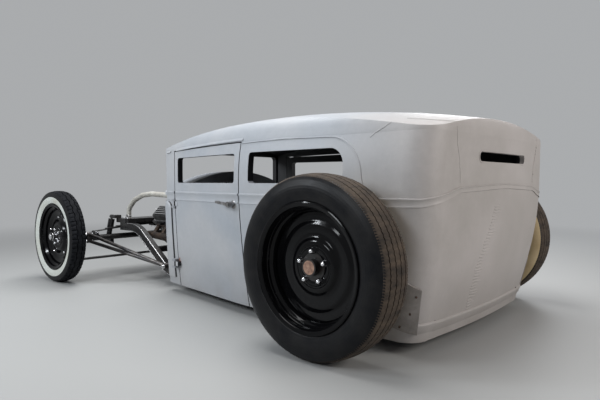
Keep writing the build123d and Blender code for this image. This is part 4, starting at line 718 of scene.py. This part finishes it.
for side, hand in SIDES:
    wheel = f"{hand}_rear"
    add_wheel(wheel, side, REAR_RIM_LINE, REAR_DISC_LINE, 160)
    add_nut_ring(f"{wheel}_nuts", wheel, side, 0.031, 0.06985, 0.0245, 0.028)
    centre = wheel_centre(wheel)
    hub_iron = Finish(f"{wheel}_hub_iron", (0.006, 0.006, 0.006), 0.35)
    outboard = hub_iron.math("MULTIPLY", hub_iron.along("Y"), side)
    at_end = hub_iron.math("GREATER_THAN", outboard, abs(centre.y) + 0.0625)
    in_middle = hub_iron.math("LESS_THAN", from_axle(hub_iron, centre, 0.0, 1.0), 0.0305)
    rust_cloud = hub_iron.noise(55, 6.0, 0.7)
    soot, rust = hub_iron.ramp(rust_cloud, *SOOT), hub_iron.ramp(rust_cloud, *RUST)
    hub_iron.colour(hub_iron.mix(hub_iron.math("MULTIPLY", at_end, in_middle), soot, rust))
    hub_iron.bump(rust_cloud, 0.001, 0.6)
    hub_iron.paint(f"{wheel}_drum")

# ---------------------------------------------------------------------------
# Front tyres and wheels: narrow block-tread whitewalls on black steel wheels,
# with a small domed chrome cap and five nuts. The white band faces out.
FRONT_TREAD_HALF, FRONT_TREAD_RADIUS, FRONT_CROWN = 0.046, 0.3508, 0.007
LUG_DEPTH = 0.0085


def front_crown(out):
    return FRONT_TREAD_RADIUS - FRONT_CROWN * (out / FRONT_TREAD_HALF) ** 2


FRONT_WALL = [
    (0.0419, 0.2348), (0.0405, 0.242), (0.0415, 0.2505), (0.0465, 0.2535), (0.0475, 0.2565), (0.049, 0.2572),
    (0.0512, 0.2645), (0.0546, 0.273), (0.0572, 0.284), (0.0586, 0.295), (0.0588, 0.3035), (0.0574, 0.3048),
    (0.0575, 0.312), (0.0566, 0.319), (0.055, 0.326), (0.0535, 0.3325),
]
# shoulder lugs part the outer ribs, and the middle rib zigzags between two grooves
SHOULDER = [(0.052, 0.3375), (0.049, 0.3425), (FRONT_TREAD_HALF, front_crown(FRONT_TREAD_HALF))]
MIDDLE_RIB = [(0.0215, front_crown(0.021)), (0.0205, front_crown(0.02) - 0.008),
              (0.0145, front_crown(0.014) - 0.008), (0.0135, front_crown(0.013))]
profile = [(-out, radius) for out, radius in FRONT_WALL]
profile += [(-out, radius, 0, LUG_DEPTH, 2) for out, radius in SHOULDER]
profile += [(-out, radius, 0.003, 0, 2) for out, radius in MIDDLE_RIB]
profile += [(out, radius, 0.003, 0, 2) for out, radius in MIDDLE_RIB[::-1]]
profile += [(out, radius, 0, LUG_DEPTH, 2) for out, radius in SHOULDER[:0:-1]] + SHOULDER[:1]
profile += [(out, radius, 0, 0, 1 if 0.26 < radius < 0.304 else 0) for out, radius in FRONT_WALL[::-1]]

FRONT_RIM_LINE = [
    (-0.0505, 0.2485), (-0.049, 0.2425), (-0.0445, 0.2325), (-0.026, 0.2315), (-0.02, 0.2155),
    (0.016, 0.2145), (0.022, 0.2225), (0.028, 0.2295), (0.044, 0.2325), (0.0485, 0.2425), (0.0495, 0.2475),
    (0.051, 0.2485),
]
FRONT_DISC_LINE = [
    (0.002, 0.2135), (0.006, 0.2055), (0.005, 0.188), (-0.004, 0.172), (-0.0085, 0.15), (-0.007, 0.13),
    (-0.0015, 0.1155), (0.007, 0.1085), (0.0105, 0.1), (0.0105, 0.0865), (0.007, 0.0825), (0.007, 0.0765),
    (0.0105, 0.072), (0.0105, 0.0385),
]
FRONT_CAP = [(0.0125, 0.0375), (0.022, 0.0365), (0.05, 0.0355), (0.058, 0.0345)]
FRONT_CAP += [(0.058 + 0.0145 * math.sin(turn), 0.0345 * math.cos(turn)) for turn in steps(0.15, 1.45, 9)]
FRONT_CAP += [(0.0725, 0.0015), (0.0715, 0.0015), (0.0705, 0.02), (0.0125, 0.034)]
whitewall = band_rubber("whitewall_band", (0.6, 0.6, 0.55), (0.6, 0.63, 0.6), (0.47, 0.47, 0.41))
dusty_tread = Finish("front_tread_rubber", (0.02, 0.02, 0.021), 0.75, Specular_IOR_Level=0.1)
dusty_tread.colour((36, 5.0, 0.65), (0.35, (0.004, 0.0045, 0.006)), (0.75, (0.018, 0.019, 0.022)))
dusty_tread.bump(200, 0.0008, 0.6)
BLOCK_TREAD = {"pitch": 4, "tooth_at": 0, "crease_angle": 30}
for side, hand in SIDES:
    wheel = f"{hand}_front"
    add_tyre(wheel, side, profile, 264, (0.235, 0.35), whitewall, dusty_tread, **BLOCK_TREAD)
    add_wheel(wheel, side, FRONT_RIM_LINE, FRONT_DISC_LINE, 140)
    add_nut_ring(f"{wheel}_nuts", wheel, side, 0.013, 0.0572, 0.0205, 0.024, 0.3)
    add_nut_ring(f"{wheel}_cap_clips", wheel, side, -0.006, 0.148, 0.017, 0.016)
    add_lathe(f"{wheel}_cap", wheel, side, FRONT_CAP, 64, nut_plate)
    gloss_black.paint(f"{wheel}_drum")

# ---------------------------------------------------------------------------
# Frame: boxed rails swept up over the axles, welded to a front crossmember,
# painted black. Ahead of the cowl the rails' outer edges are ground bright.
black_paint = Finish("chassis_black", (0.014, 0.014, 0.016), 0.35, slot="chassis_black")
black_paint.colour((9, 5.0, 0.6), (0.35, (0.01, 0.01, 0.012)), (0.72, (0.03, 0.027, 0.025)))
black_paint.rough((16, 4.0), (0.3, 0.22), (0.72, 0.5))
black_paint.bump(90, 0.0005, 0.4)
black_paint.paint("frame_rails", "front_axle", "front_spring", "front_shocks", "tie_rod", "rear_axle",
                  "trailing_arms", "rear_coilovers", "left_knuckle", "right_knuckle", "steering_column")
ground_steel = Finish("ground_steel", (0.5, 0.5, 0.51), 0.3, 1.0, slot="bare_steel")
ground_steel.rough(ground_steel.noise(60, 5.0, stretch=(0.15, 1, 1)), (0.3, 0.2), (0.72, 0.5))


def turned(mesh, base, outward, outline, sides=24):
    """Turns (along, radius) points round a line that stands on base."""
    outward = Vector(outward).normalized()
    first = outward.orthogonal().normalized()
    second = outward.cross(first)
    rings = []
    for along, radius in outline:
        middle = Vector(base) + outward * along
        spots = [middle + (first * c + second * s) * radius for c, s in round_steps(sides)]
        rings.append([mesh.verts.new(spot) for spot in spots])
    join_rings(mesh, rings)


def round_bar(mesh, points, radius, sides=10):
    """A round bar along closely spaced points, closed at both ends."""
    points = [Vector(point) for point in points]
    last = len(points) - 1
    rings = []
    beside = None
    for i, point in enumerate(points):
        run = (points[min(i + 1, last)] - points[max(i - 1, 0)]).normalized()
        beside = beside or run.orthogonal()
        beside = (beside - run * beside.dot(run)).normalized()
        up = run.cross(beside)
        rings.append([mesh.verts.new(point + (beside * c + up * s) * radius) for c, s in round_steps(sides)])
    join_rings(mesh, rings)


def hexagon_nut(mesh, base, outward, across_flats):
    """A nut on its washer, with the bolt's end standing out of it."""
    reach = across_flats / 1.732
    nut_top, bolt_end = across_flats * 0.65, across_flats * 0.9
    turned(mesh, base, outward, [(-0.001, reach * 1.3), (0.0018, reach * 1.3), (0.0022, reach * 1.2)])
    turned(mesh, base, outward, [(0.002, reach), (across_flats * 0.55, reach), (nut_top, reach * 0.86)], 6)
    bolt = [(0.002, reach * 0.45), (across_flats * 0.85, reach * 0.45), (bolt_end, reach * 0.36)]
    turned(mesh, base, outward, bolt, 14)


def nuts_where(name, node, shots, across_flats, finish, build=hexagon_nut):
    """Nuts where the shots, each a start and a direction, meet a piece square on."""
    mesh = bmesh.new()
    for start, direction in shots:
        direction = Vector(direction).normalized()
        hit = first_hit([node], Vector(start), direction)
        if hit and hit[1].dot(direction) < -0.9:
            build(mesh, hit[0], -direction, across_flats)
    finished(mesh, name, finish)


mesh = bmesh.new()
for side in (1, -1):
    for start_z, lift in ((0.9, -1), (0.0, 1)):
        starts = [Vector((ahead(d), side * 0.4005, start_z)) for d in steps(1.722, 2.474, 90)]
        hits = [first_hit(["frame_rails"], start, Vector((0, 0, lift))) for start in starts]
        edge = [hit[0] + Vector((0, side * 0.0012, lift * 0.0012)) for hit in hits if hit]
        round_bar(mesh, edge, 0.0028, 8)
finished(mesh, "ground_rail_edges", ground_steel)
shots = [((ahead(d), side * 0.38, 0.6), (0, 0, -1)) for side in (1, -1) for d in (2.502, 2.558, 2.64)]
nuts_where("crossmember_bolts", "frame_rails", shots, 0.015, ground_steel)

# ---------------------------------------------------------------------------
# Front axle fittings: shackle and clamp nuts of the spring, hairpin and shock
# nuts, and a grease fitting on each kingpin. Plated steel, screwed on.
FRONT_AXLE = 2.63
GREASE_FITTING = [(0, 0.0098), (0.004, 0.0095), (0.0065, 0.006), (0.007, 0.0028), (0.012, 0.0028),
                  (0.0135, 0.0015)]
mesh = bmesh.new()
for side in (1, -1):
    for end in (1, -1):
        for y, z in ((0.603, 0.3597), (0.583, 0.315)):
            hexagon_nut(mesh, (ahead(FRONT_AXLE) + end * 0.0288, side * y, z), (end, 0, 0), 0.017)
        hexagon_nut(mesh, (ahead(FRONT_AXLE) + end * 0.0295, side * 0.06, 0.3847), (0, 0, -1), 0.015)
        for z in (0.353, 0.297):
            hexagon_nut(mesh, (ahead(2.598), side * (0.67 + end * 0.018), z), (0, end * side, 0), 0.019)
    hexagon_nut(mesh, (ahead(1.85), side * 0.469, 0.15), (0, side, 0), 0.022)
    for y, z in ((0.455, 0.275), (0.415, 0.478)):
        hexagon_nut(mesh, (ahead(2.713), side * y, z), (1, 0, 0), 0.019)
    turned(mesh, (ahead(FRONT_AXLE), side * 0.785, 0.4025), (0, 0, 1), GREASE_FITTING, 18)
finished(mesh, "front_axle_nuts", nut_plate)
radius_steel = Finish("radius_rod_steel", (0.1, 0.1, 0.105), 0.4, 0.9)
radius_steel.rough((30, 4.0), (0.3, 0.34), (0.7, 0.5))
radius_steel.colour((14, 5.0, 0.65), (0.35, (0.06, 0.06, 0.065)), (0.7, (0.16, 0.145, 0.135)))
radius_steel.paint("radius_rods")

# ---------------------------------------------------------------------------
# Engine: a cast iron block and heads, oily and dusty from the work on the car.
# The front cover is bolted on and the core plugs are pressed into the block.
engine_iron = Finish("engine_iron", (0.03, 0.03, 0.032), 0.45, 0.2)
oil = engine_iron.noise(13, 6.0, 0.65)
OILY = ((0.32, (0.007, 0.007, 0.008)), (0.55, (0.018, 0.017, 0.018)), (0.78, (0.05, 0.04, 0.032)))
engine_iron.colour(oil, *OILY)
engine_iron.rough(oil, (0.3, 0.22), (0.7, 0.62))
engine_iron.bump((170, 3.0), 0.0009, 0.7)
engine_iron.paint("engine_block")
gearbox_alloy = Finish("gearbox_casting", (0.22, 0.22, 0.22), 0.5, 0.75)
gearbox_alloy.colour((10, 6.0, 0.6), (0.3, (0.1, 0.095, 0.09)), (0.7, (0.28, 0.28, 0.28)))
gearbox_alloy.bump((150, 3.0), 0.0008, 0.6)
gearbox_alloy.paint("gearbox_and_driveshaft")
ENGINE_MIDDLE = 2.095
CRANK_Z = 0.31
SLANT = math.sqrt(0.5)


def bank_spot(side, forward, out, across):
    """A place on one bank: forward of the engine's middle, out along the cylinders, and across them."""
    y, z = side * (out + across) * SLANT, CRANK_Z + (out - across) * SLANT
    return Vector((ahead(ENGINE_MIDDLE) + forward, y, z))


COVER_REACH = 0.092
shots = [((ahead(2.6), COVER_REACH * c, CRANK_Z + COVER_REACH * s), (-1, 0, 0))
         for c, s in round_steps(12, 0.26)]
nuts_where("front_cover_bolts", "engine_block", shots, 0.011, ground_steel)
CORE_PLUG = [(0, 0.0215), (0.003, 0.0212), (0.0032, 0.0195), (0.001, 0.018)]
mesh = bmesh.new()
for side in (1, -1):
    for forward in (-0.19, 0.0, 0.13):
        turned(mesh, (ahead(ENGINE_MIDDLE) + forward, side * 0.1175, 0.293), (0, side, 0), CORE_PLUG, 32)
finished(mesh, "core_plugs", ground_steel)

# ---------------------------------------------------------------------------
# Valve covers: cast aluminium with polished fins, on a thin rim, and held by
# a cap nut at each end. The ground between the fins is painted black.
cast_alloy = Finish("cast_aluminium", (0.5, 0.5, 0.51), 0.4, 1.0, slot="engine_aluminium")
cast_alloy.colour((12, 5.0, 0.6), (0.3, (0.36, 0.355, 0.35)), (0.7, (0.56, 0.56, 0.57)))
cast_alloy.rough((40, 4.0), (0.3, 0.28), (0.72, 0.55))
cast_alloy.bump((260, 2.0), 0.0005, 0.6)
cast_alloy.paint("intake_and_carburettor")
cover_black = Finish("cover_black_and_fins", (0.02, 0.02, 0.022), 0.4)
sideways = cover_black.math("ABSOLUTE", cover_black.along("Y"))
up_the_bank = cover_black.math("MULTIPLY", cover_black.math("ADD", sideways, cover_black.along("Z")), 0.7071)
on_fin_tops = cover_black.spread(up_the_bank, 0.5462, 0.5472)
cover_dust = cover_black.noise(30, 5.0, 0.65)
cover_dust = cover_black.ramp(cover_dust, (0.35, (0.008, 0.008, 0.009)), (0.75, (0.04, 0.038, 0.036)))
cover_black.colour(cover_black.mix(on_fin_tops, cover_dust, (0.62, 0.62, 0.63)))
cover_black.drive("Metallic", on_fin_tops)
cover_black.rough(cover_black.mix(on_fin_tops, (0.5, 0.5, 0.5), (0.22, 0.22, 0.22)))
cover_black.bump((420, 2.0), 0.0006, 0.7)
cover_black.paint("valve_covers")
COVER_HALF_LENGTH, COVER_HALF_WIDTH, COVER_CORNER = 0.224, 0.0465, 0.022
rim_line = []
for quarter, (ends, sides) in enumerate(((1, 1), (-1, 1), (-1, -1), (1, -1))):
    for turn in steps(math.pi / 2 * quarter, math.pi / 2 * (quarter + 1), 7):
        forward = ends * COVER_HALF_LENGTH + COVER_CORNER * math.cos(turn)
        rim_line.append((forward, sides * COVER_HALF_WIDTH + COVER_CORNER * math.sin(turn)))
for side, hand in SIDES:
    mesh = bmesh.new()
    rings = [[mesh.verts.new(bank_spot(side, f, out, a)) for f, a in rim_line] for out in (0.2645, 0.2685)]
    join_rings(mesh, rings)
    finished(mesh, f"{hand}_cover_rim", cast_alloy)
    mesh = bmesh.new()
    for forward in (-0.2145, 0.2145):
        add_acorn_nut(mesh, bank_spot(side, forward, 0.3185, 0), (0, side * SLANT, SLANT), 0.0125, 0.015)
    finished(mesh, f"{hand}_cover_cap_nuts", nut_plate)

# ---------------------------------------------------------------------------
# Carburettor and air cleaner: a pleated paper element under a pressed lid,
# held by a wing nut; four nuts hold the carburettor on the manifold.
paper = Finish("filter_paper", (0.36, 0.3, 0.2), 0.8, slot="pale_hose")
paper.colour((20, 4.0), (0.3, (0.26, 0.2, 0.13)), (0.7, (0.45, 0.38, 0.27)))
PLEATS = ((0.6165, 0.1148, 0), (0.6175, 0.1152, 0.0024), (0.6325, 0.1152, 0.0024), (0.6335, 0.1148, 0))
mesh = bmesh.new()
rings = []
for z, reach, pleat in PLEATS:
    ring = []
    for k, (c, s) in enumerate(round_steps(240)):
        out = reach + pleat * (k % 2)
        ring.append(mesh.verts.new((ahead(ENGINE_MIDDLE) + out * c, out * s, z)))
    rings.append(ring)
join_rings(mesh, rings)
finished(mesh, "pleated_element", paper, crease_angle=20)
LID_WASHER = [(-0.001, 0.016), (0.001, 0.016), (0.0015, 0.014)]
WING_HUB = [(0.001, 0.007), (0.006, 0.0065), (0.01, 0.005), (0.011, 0.003), (0.017, 0.003), (0.018, 0.002)]
WING = [(0.004, 0.004), (0.012, 0.008), (0.019, 0.015), (0.0215, 0.019)]
lid_top = Vector((ahead(ENGINE_MIDDLE), 0, 0.65))
mesh = bmesh.new()
turned(mesh, lid_top, (0, 0, 1), LID_WASHER, 28)
turned(mesh, lid_top, (0, 0, 1), WING_HUB, 18)
for end in (1, -1):
    round_bar(mesh, [lid_top + Vector((end * x, 0, z)) for x, z in WING], 0.0022, 8)
finished(mesh, "cleaner_wing_nut", nut_plate)
shots = [((ahead(ENGINE_MIDDLE) + x, y, 0.597), (0, 0, -1)) for x in (-0.064, 0.064) for y in (-0.05, 0.05)]
nuts_where("carburettor_nuts", "intake_and_carburettor", shots, 0.012, nut_plate)

# ---------------------------------------------------------------------------
# Exhaust headers: welded steel pipe, blued and rusty from heat, with nuts on
# the head flanges and on the collector flanges. Spark plugs stand between.
hot_pipe = Finish("exhaust_steel", (0.16, 0.11, 0.08), 0.5, 0.7)
heat = hot_pipe.noise(11, 6.0, 0.62)
hot_pipe.colour(heat, (0.3, (0.025, 0.023, 0.024)), (0.52, (0.055, 0.04, 0.032)), (0.76, (0.12, 0.07, 0.045)))
hot_pipe.rough(heat, (0.3, 0.32), (0.7, 0.75))
hot_pipe.bump((120, 4.0), 0.0007, 0.6)
hot_pipe.paint("exhaust_headers")
ceramic = Finish("plug_ceramic", (0.62, 0.6, 0.55), 0.2, slot="pale_hose")
ceramic.rough(80, (0.3, 0.15), (0.7, 0.35))
PLUG_STEEL = (([(-0.001, 0.0085), (0.003, 0.0085)], 20),
              ([(0.003, 0.0098), (0.012, 0.0098), (0.013, 0.0085)], 6),
              ([(0.0505, 0.003), (0.058, 0.003), (0.059, 0.002)], 14))
COLLECTOR_X, COLLECTOR_Y, COLLECTOR_Z, COLLECTOR_REACH = ahead(1.78), 0.302, 0.325, 0.038
PLUG_CERAMIC = [(0.012, 0.0065), (0.02, 0.0062), (0.024, 0.005), (0.05, 0.0042), (0.051, 0.0035)]
for side, hand in SIDES:
    sideways = Vector((0, side * SLANT, -SLANT))
    bolts = [gap + shift for gap in (-0.115, 0, 0.115) for shift in (-0.015, 0.015)]
    shots = [(bank_spot(side, forward, 0.232, 0.2), -sideways) for forward in bolts]
    for c, s in round_steps(3):
        y, z = side * (COLLECTOR_Y + COLLECTOR_REACH * c), COLLECTOR_Z + COLLECTOR_REACH * s
        shots.append(((COLLECTOR_X, y, z), (1, 0, 0)))
    nuts_where(f"{hand}_header_nuts", "exhaust_headers", shots, 0.0115, ground_steel)
    mesh, white = bmesh.new(), bmesh.new()
    for port in (-0.1725, -0.0575, 0.0575, 0.1725):
        seat = bank_spot(side, port + 0.042, 0.2035, 0.08)
        for outline, sides in PLUG_STEEL:
            turned(mesh, seat, sideways, outline, sides)
        turned(white, seat, sideways, PLUG_CERAMIC, 20)
    finished(mesh, f"{hand}_spark_plugs", ground_steel)
    finished(white, f"{hand}_plug_ceramics", ceramic)

# ---------------------------------------------------------------------------
# Fan belt: a moulded rubber V belt, stretched over the crank pulley and the
# water pump pulley.
belt_rubber = Finish("belt_rubber", (0.012, 0.012, 0.012), 0.6, slot="tyre", Specular_IOR_Level=0.2)
belt_rubber.bump(300, 0.0003, 0.5)
CRANK_PULLEY, PUMP_PULLEY, PUMP_Z = 0.079, 0.0585, 0.45
BELT_CORNERS = ((0.0055, 0.0015), (-0.0055, 0.0015), (-0.004, -0.007), (0.004, -0.007))
lean = math.asin((CRANK_PULLEY - PUMP_PULLEY) / (PUMP_Z - CRANK_Z))
mesh = bmesh.new()
rows = []
for centre_z, reach, first, last in ((PUMP_Z, PUMP_PULLEY, -lean, math.pi + lean),
                                     (CRANK_Z, CRANK_PULLEY, math.pi + lean, 2 * math.pi - lean)):
    for turn in steps(first, last, 40):
        row = []
        for x, deep in BELT_CORNERS:
            y, z = (reach + deep) * math.cos(turn), centre_z + (reach + deep) * math.sin(turn)
            row.append(mesh.verts.new((ahead(2.425) + x, y, z)))
        rows.append(row)
join_rings(mesh, rows, closed=True)
finished(mesh, "fan_belt", belt_rubber, crease_angle=30)

# ---------------------------------------------------------------------------
# Coolant pipe: a formed pipe in a pale sleeve from the crossmember to the
# firewall, with a worm clamp near each end.
pipe_sleeve = Finish("pale_sleeve", (0.5, 0.49, 0.45), 0.5)
pipe_sleeve.colour((16, 5.0, 0.6), (0.3, (0.36, 0.34, 0.3)), (0.7, (0.56, 0.55, 0.5)))
pipe_sleeve.bump(140, 0.0004, 0.5)
pipe_sleeve.paint("coolant_hose")
CLAMP_BAND = [(0, 0.0207), (0.001, 0.0216), (0.012, 0.0216), (0.013, 0.0207)]
CLAMPS = (((ahead(2.56), 0.335, 0.478), (0, 0, 1)), ((ahead(1.7), 0.3222, 0.6425), (0.274, 0.025, 0.028)))
mesh = bmesh.new()
for base, outward in CLAMPS:
    turned(mesh, base, outward, CLAMP_BAND, 36)
    screw = Vector(base) + Vector(outward).normalized() * 0.0065 + Vector((0, 0.0235, 0))
    round_bar(mesh, [screw + Vector((0, 0, z)) for z in (-0.009, 0, 0.011)], 0.0042)
finished(mesh, "pipe_clamps", nut_plate)

# ---------------------------------------------------------------------------
# Firewall and floor: sheet steel in satin black, dusty, with pressed beads
# and a ring of screws round the firewall's edge.
satin_floor = Finish("floor_paint", (0.03, 0.03, 0.032), 0.5, slot="floor_paint")
floor_dust = satin_floor.noise(7, 6.0, 0.65)
satin_floor.colour(floor_dust, (0.35, (0.018, 0.018, 0.02)), (0.75, (0.075, 0.068, 0.06)))
satin_floor.rough(floor_dust, (0.3, 0.35), (0.7, 0.75))
satin_floor.bump((120, 3.0), 0.0005, 0.5)
satin_floor.paint("firewall", "floor_pan")
FIREWALL_BEAD, FLOOR_BEAD = half_round(0.018, 0.005), half_round(0.022, 0.004)
AHEAD_OF_FIREWALL = 1.9
for side, hand in SIDES:
    for number, y in enumerate((0.21, 0.36)):
        starts = [Vector((ahead(AHEAD_OF_FIREWALL), side * y, z)) for z in steps(0.22, 0.56, 18)]
        rays = [(start, Vector((-1, 0, 0))) for start in starts]
        add_moulding(f"{hand}_firewall_bead_{number}", ["firewall"], rays, FIREWALL_BEAD, satin_floor)
    for number, y in enumerate((0.19, 0.31, 0.43)):
        rays = [(Vector((ahead(d), side * y, 0.24)), Vector((0, 0, -1))) for d in steps(1.0, 1.5, 20)]
        add_moulding(f"{hand}_floor_bead_{number}", ["floor_pan"], rays, FLOOR_BEAD, satin_floor)
SCREWS = ((0.485, 0.2), (0.492, 0.32), (0.498, 0.44), (0.49, 0.56),
          (0.44, 0.66), (0.34, 0.72), (0.22, 0.76), (0.08, 0.782))
shots = [((ahead(AHEAD_OF_FIREWALL), side * y, z), (-1, 0, 0)) for side in (1, -1) for y, z in SCREWS]
nuts_where("firewall_screws", "firewall", shots, 0.011, ground_steel)

# ---------------------------------------------------------------------------
# Dashboard: two large dials and three small ones behind bright bezels, screwed
# into the primed dash. The faces are black with plain marks. The door hinges
# wear the same primer.
dash_primer = Finish("dash_primer", (0.33, 0.34, 0.355), 0.5, Specular_IOR_Level=0.4)
dash_primer.colour((8, 5.0, 0.6), (0.3, (0.25, 0.26, 0.28)), (0.72, (0.36, 0.37, 0.385)))
dash_primer.bump((150, 3.0), 0.0005, 0.5)
dash_primer.paint("dashboard", "door_hinges")
dial_black = Finish("dial_black", (0.006, 0.006, 0.007), 0.3, slot="wheel_rim_plastic")
dial_black.rough(60, (0.3, 0.22), (0.7, 0.4))
dial_marks = Finish("dial_marks", (0.75, 0.73, 0.66), 0.5, slot="pale_hose")
dial_marks.colour(90, (0.3, (0.66, 0.64, 0.57)), (0.7, (0.8, 0.78, 0.72)))
DIALS = ((0.24, 0.603, 0.045), (0.345, 0.603, 0.045),
         (0.07, 0.606, 0.026), (0.0, 0.606, 0.026), (-0.07, 0.606, 0.026))
BEZEL = ((-0.001, 1), (0.005, 1), (0.008, 0.95), (0.0075, 0.88), (0.004, 0.86))
bezels, faces, marks = bmesh.new(), bmesh.new(), bmesh.new()


def dial_bar(face, radius, degrees, proud, inner, outer, thickness):
    """A mark or a needle on a dial, from its middle outwards; its measures are shares of the radius."""
    turn = math.radians(degrees)
    spoke = Vector((0, -math.sin(turn), math.cos(turn)))
    ends = [face + Vector((-proud, 0, 0)) + spoke * radius * share for share in (inner, outer)]
    round_bar(marks, ends, radius * thickness, 6)


for y, z, radius in DIALS:
    face = first_hit(["dashboard"], Vector((ahead(1.2), y, z)), Vector((1, 0, 0)))[0]
    turned(bezels, face, (-1, 0, 0), [(proud, radius * share) for proud, share in BEZEL], 48)
    turned(faces, face, (-1, 0, 0), [(0.003, radius * 0.87), (0.0046, radius * 0.86)], 48)
    turned(faces, face, (-1, 0, 0), [(0.0046, radius * 0.1), (0.007, radius * 0.09)], 20)
    for k in range(21):
        dial_bar(face, radius, -135 + 270 * k / 20, 0.0047, 0.7 if k % 2 else 0.62, 0.79, 0.012)
    dial_bar(face, radius, -110, 0.0055, -0.12, 0.66, 0.018)
finished(bezels, "dial_bezels", nut_plate)
finished(faces, "dial_faces", dial_black)
finished(marks, "dial_marks", dial_marks)

# ---------------------------------------------------------------------------
# Seats: bomber-style buckets in bare aluminium sheet, with a rolled edge bar
# on the side wings and rivets along the folds.
seat_sheet = Finish("seat_aluminium", (0.5, 0.5, 0.51), 0.35, 1.0, slot="seat_shell")
brushing = seat_sheet.noise(70, 5.0, 0.7, stretch=(0.2, 3, 3))
seat_sheet.colour((6, 4.0), (0.3, (0.42, 0.42, 0.43)), (0.7, (0.58, 0.58, 0.59)))
seat_sheet.rough(brushing, (0.3, 0.26), (0.7, 0.5))
seat_sheet.bump(brushing, 0.0003, 0.5)
seat_sheet.paint("seats")
WING_EDGE = [(0.482, 0.574), (0.560, 0.502), (0.622, 0.446), (0.634, 0.436), (0.650, 0.4295), (0.74, 0.416),
             (0.815, 0.4045), (0.832, 0.3995), (0.844, 0.387), (0.868, 0.352), (0.893, 0.318)]
mesh = bmesh.new()
shots = []
for side in (1, -1):
    for inner in (0.143, 0.547):
        round_bar(mesh, [(ahead(d), side * inner, z) for d, z in WING_EDGE], 0.0055, 12)
    shots += [((ahead(0.56 + 0.04 * k), side * 0.64, 0.274 + 0.0036 * k), (0, -side, 0)) for k in range(9)]
    shots += [((ahead(0.2), side * (0.165 + 0.06 * k), 0.66), (1, 0, 0)) for k in range(7)]
finished(mesh, "seat_edge_bars", seat_sheet)


def dome_rivet(mesh, base, outward, across):
    dome = ((-0.001, 0.5), (0.001, 0.48), (0.0022, 0.34), (0.0028, 0.12))
    turned(mesh, base, outward, [(along, across * share) for along, share in dome], 14)


nuts_where("seat_rivets", "seats", shots, 0.011, ground_steel, dome_rivet)

# ---------------------------------------------------------------------------
# Steering wheel: a black moulded rim on three steel spokes, with a turned cap
# over the hub nut.
rim_plastic = Finish("wheel_rim_plastic", (0.009, 0.009, 0.01), 0.3)
rim_plastic.rough((26, 4.0), (0.3, 0.2), (0.72, 0.42))
rim_plastic.bump(240, 0.0003, 0.4)
rim_plastic.paint("steering_wheel")
HUB_CAP = [(-0.002, 0.026), (0.003, 0.026), (0.008, 0.0235), (0.011, 0.017), (0.0125, 0.007), (0.0128, 0.001)]
COLUMN_TOP, COLUMN_FOOT = (1.29, 0.59), (1.76, 0.345)
column_run = Vector((COLUMN_TOP[0] - COLUMN_FOOT[0], 0, COLUMN_TOP[1] - COLUMN_FOOT[1])).normalized()
hub = Vector((ahead(COLUMN_TOP[0]), 0.29, COLUMN_TOP[1])) + column_run * 0.055
mesh = bmesh.new()
turned(mesh, hub, column_run, HUB_CAP, 36)
finished(mesh, "steering_hub_cap", nut_plate, "steering_wheel")

# ---------------------------------------------------------------------------
# Rear axle: the cover's flange and its ring of bolts, oily black like the
# housing.
REAR_AXLE_Z, BOLT_REACH = 0.406, 0.1195
COVER_FLANGE = [(0, 0.118), (0, 0.128), (0.009, 0.128), (0.0095, 0.1265), (0.0095, 0.108)]
mesh = bmesh.new()
turned(mesh, (ahead(-0.06), 0, REAR_AXLE_Z), (-1, 0, 0), COVER_FLANGE, 72)
finished(mesh, "cover_flange", black_paint)
mesh = bmesh.new()
for c, s in round_steps(10, math.pi / 10):
    base = (ahead(-0.0695), BOLT_REACH * s, REAR_AXLE_Z + BOLT_REACH * c)
    hexagon_nut(mesh, base, (-1, 0, 0), 0.0115)
finished(mesh, "cover_bolts", ground_steel)

# ---------------------------------------------------------------------------
# Door handles: worn plated levers whose plate is coloured dark as painted shade,
# dimming their reflections; each sits on a small turned escutcheon that is
# let into the door's skin.
worn_plate = Finish("worn_plate", (0.32, 0.32, 0.33), 0.35, 1.0, slot="bright_trim")
worn_plate.rough((70, 5.0, 0.65), (0.3, 0.18), (0.72, 0.5))
# painted shade: the plate's colour is dark and patchy, dimming the levers' reflections as well as showing
# wear
worn_plate.colour((34, 5.0, 0.65), (0.3, (0.14, 0.13, 0.12)), (0.7, (0.4, 0.4, 0.41)))
for side, hand in SIDES:
    worn_plate.paint(f"{hand}_door_handle")
    place, _ = first_hit([f"{hand}_door"], *side_ray(0.79, 0.645, side))
    mesh = bmesh.new()
    turned(mesh, place, (0, side, 0), [(-0.001, 0.024), (0.002, 0.024), (0.004, 0.021), (0.0055, 0.0165)], 40)
    finished(mesh, f"{hand}_handle_escutcheon", worn_plate, f"{hand}_door")

# ---------------------------------------------------------------------------
# Splash patch screws: four in each patch, of plain steel gone rusty, driven
# through the sheet into the rear corner of the body.
rusty_screw = Finish("rusty_screw", (0.06, 0.035, 0.025), 0.7, slot="bare_steel")
rusty_screw.colour(200, (0.3, (0.02, 0.014, 0.012)), (0.7, (0.11, 0.06, 0.04)))
mesh = bmesh.new()
for side in (1, -1):
    for distance, z in ((-0.337, 0.283), (-0.308, 0.204), (-0.29, 0.335), (-0.262, 0.14)):
        place, facing = first_hit(REAR_BODY, *side_ray(distance, z, side))
        turned(mesh, place, facing, [(0.0, 0.0048), (0.016, 0.0048), (0.0168, 0.003)], 16)
finished(mesh, "patch_screws", rusty_screw)
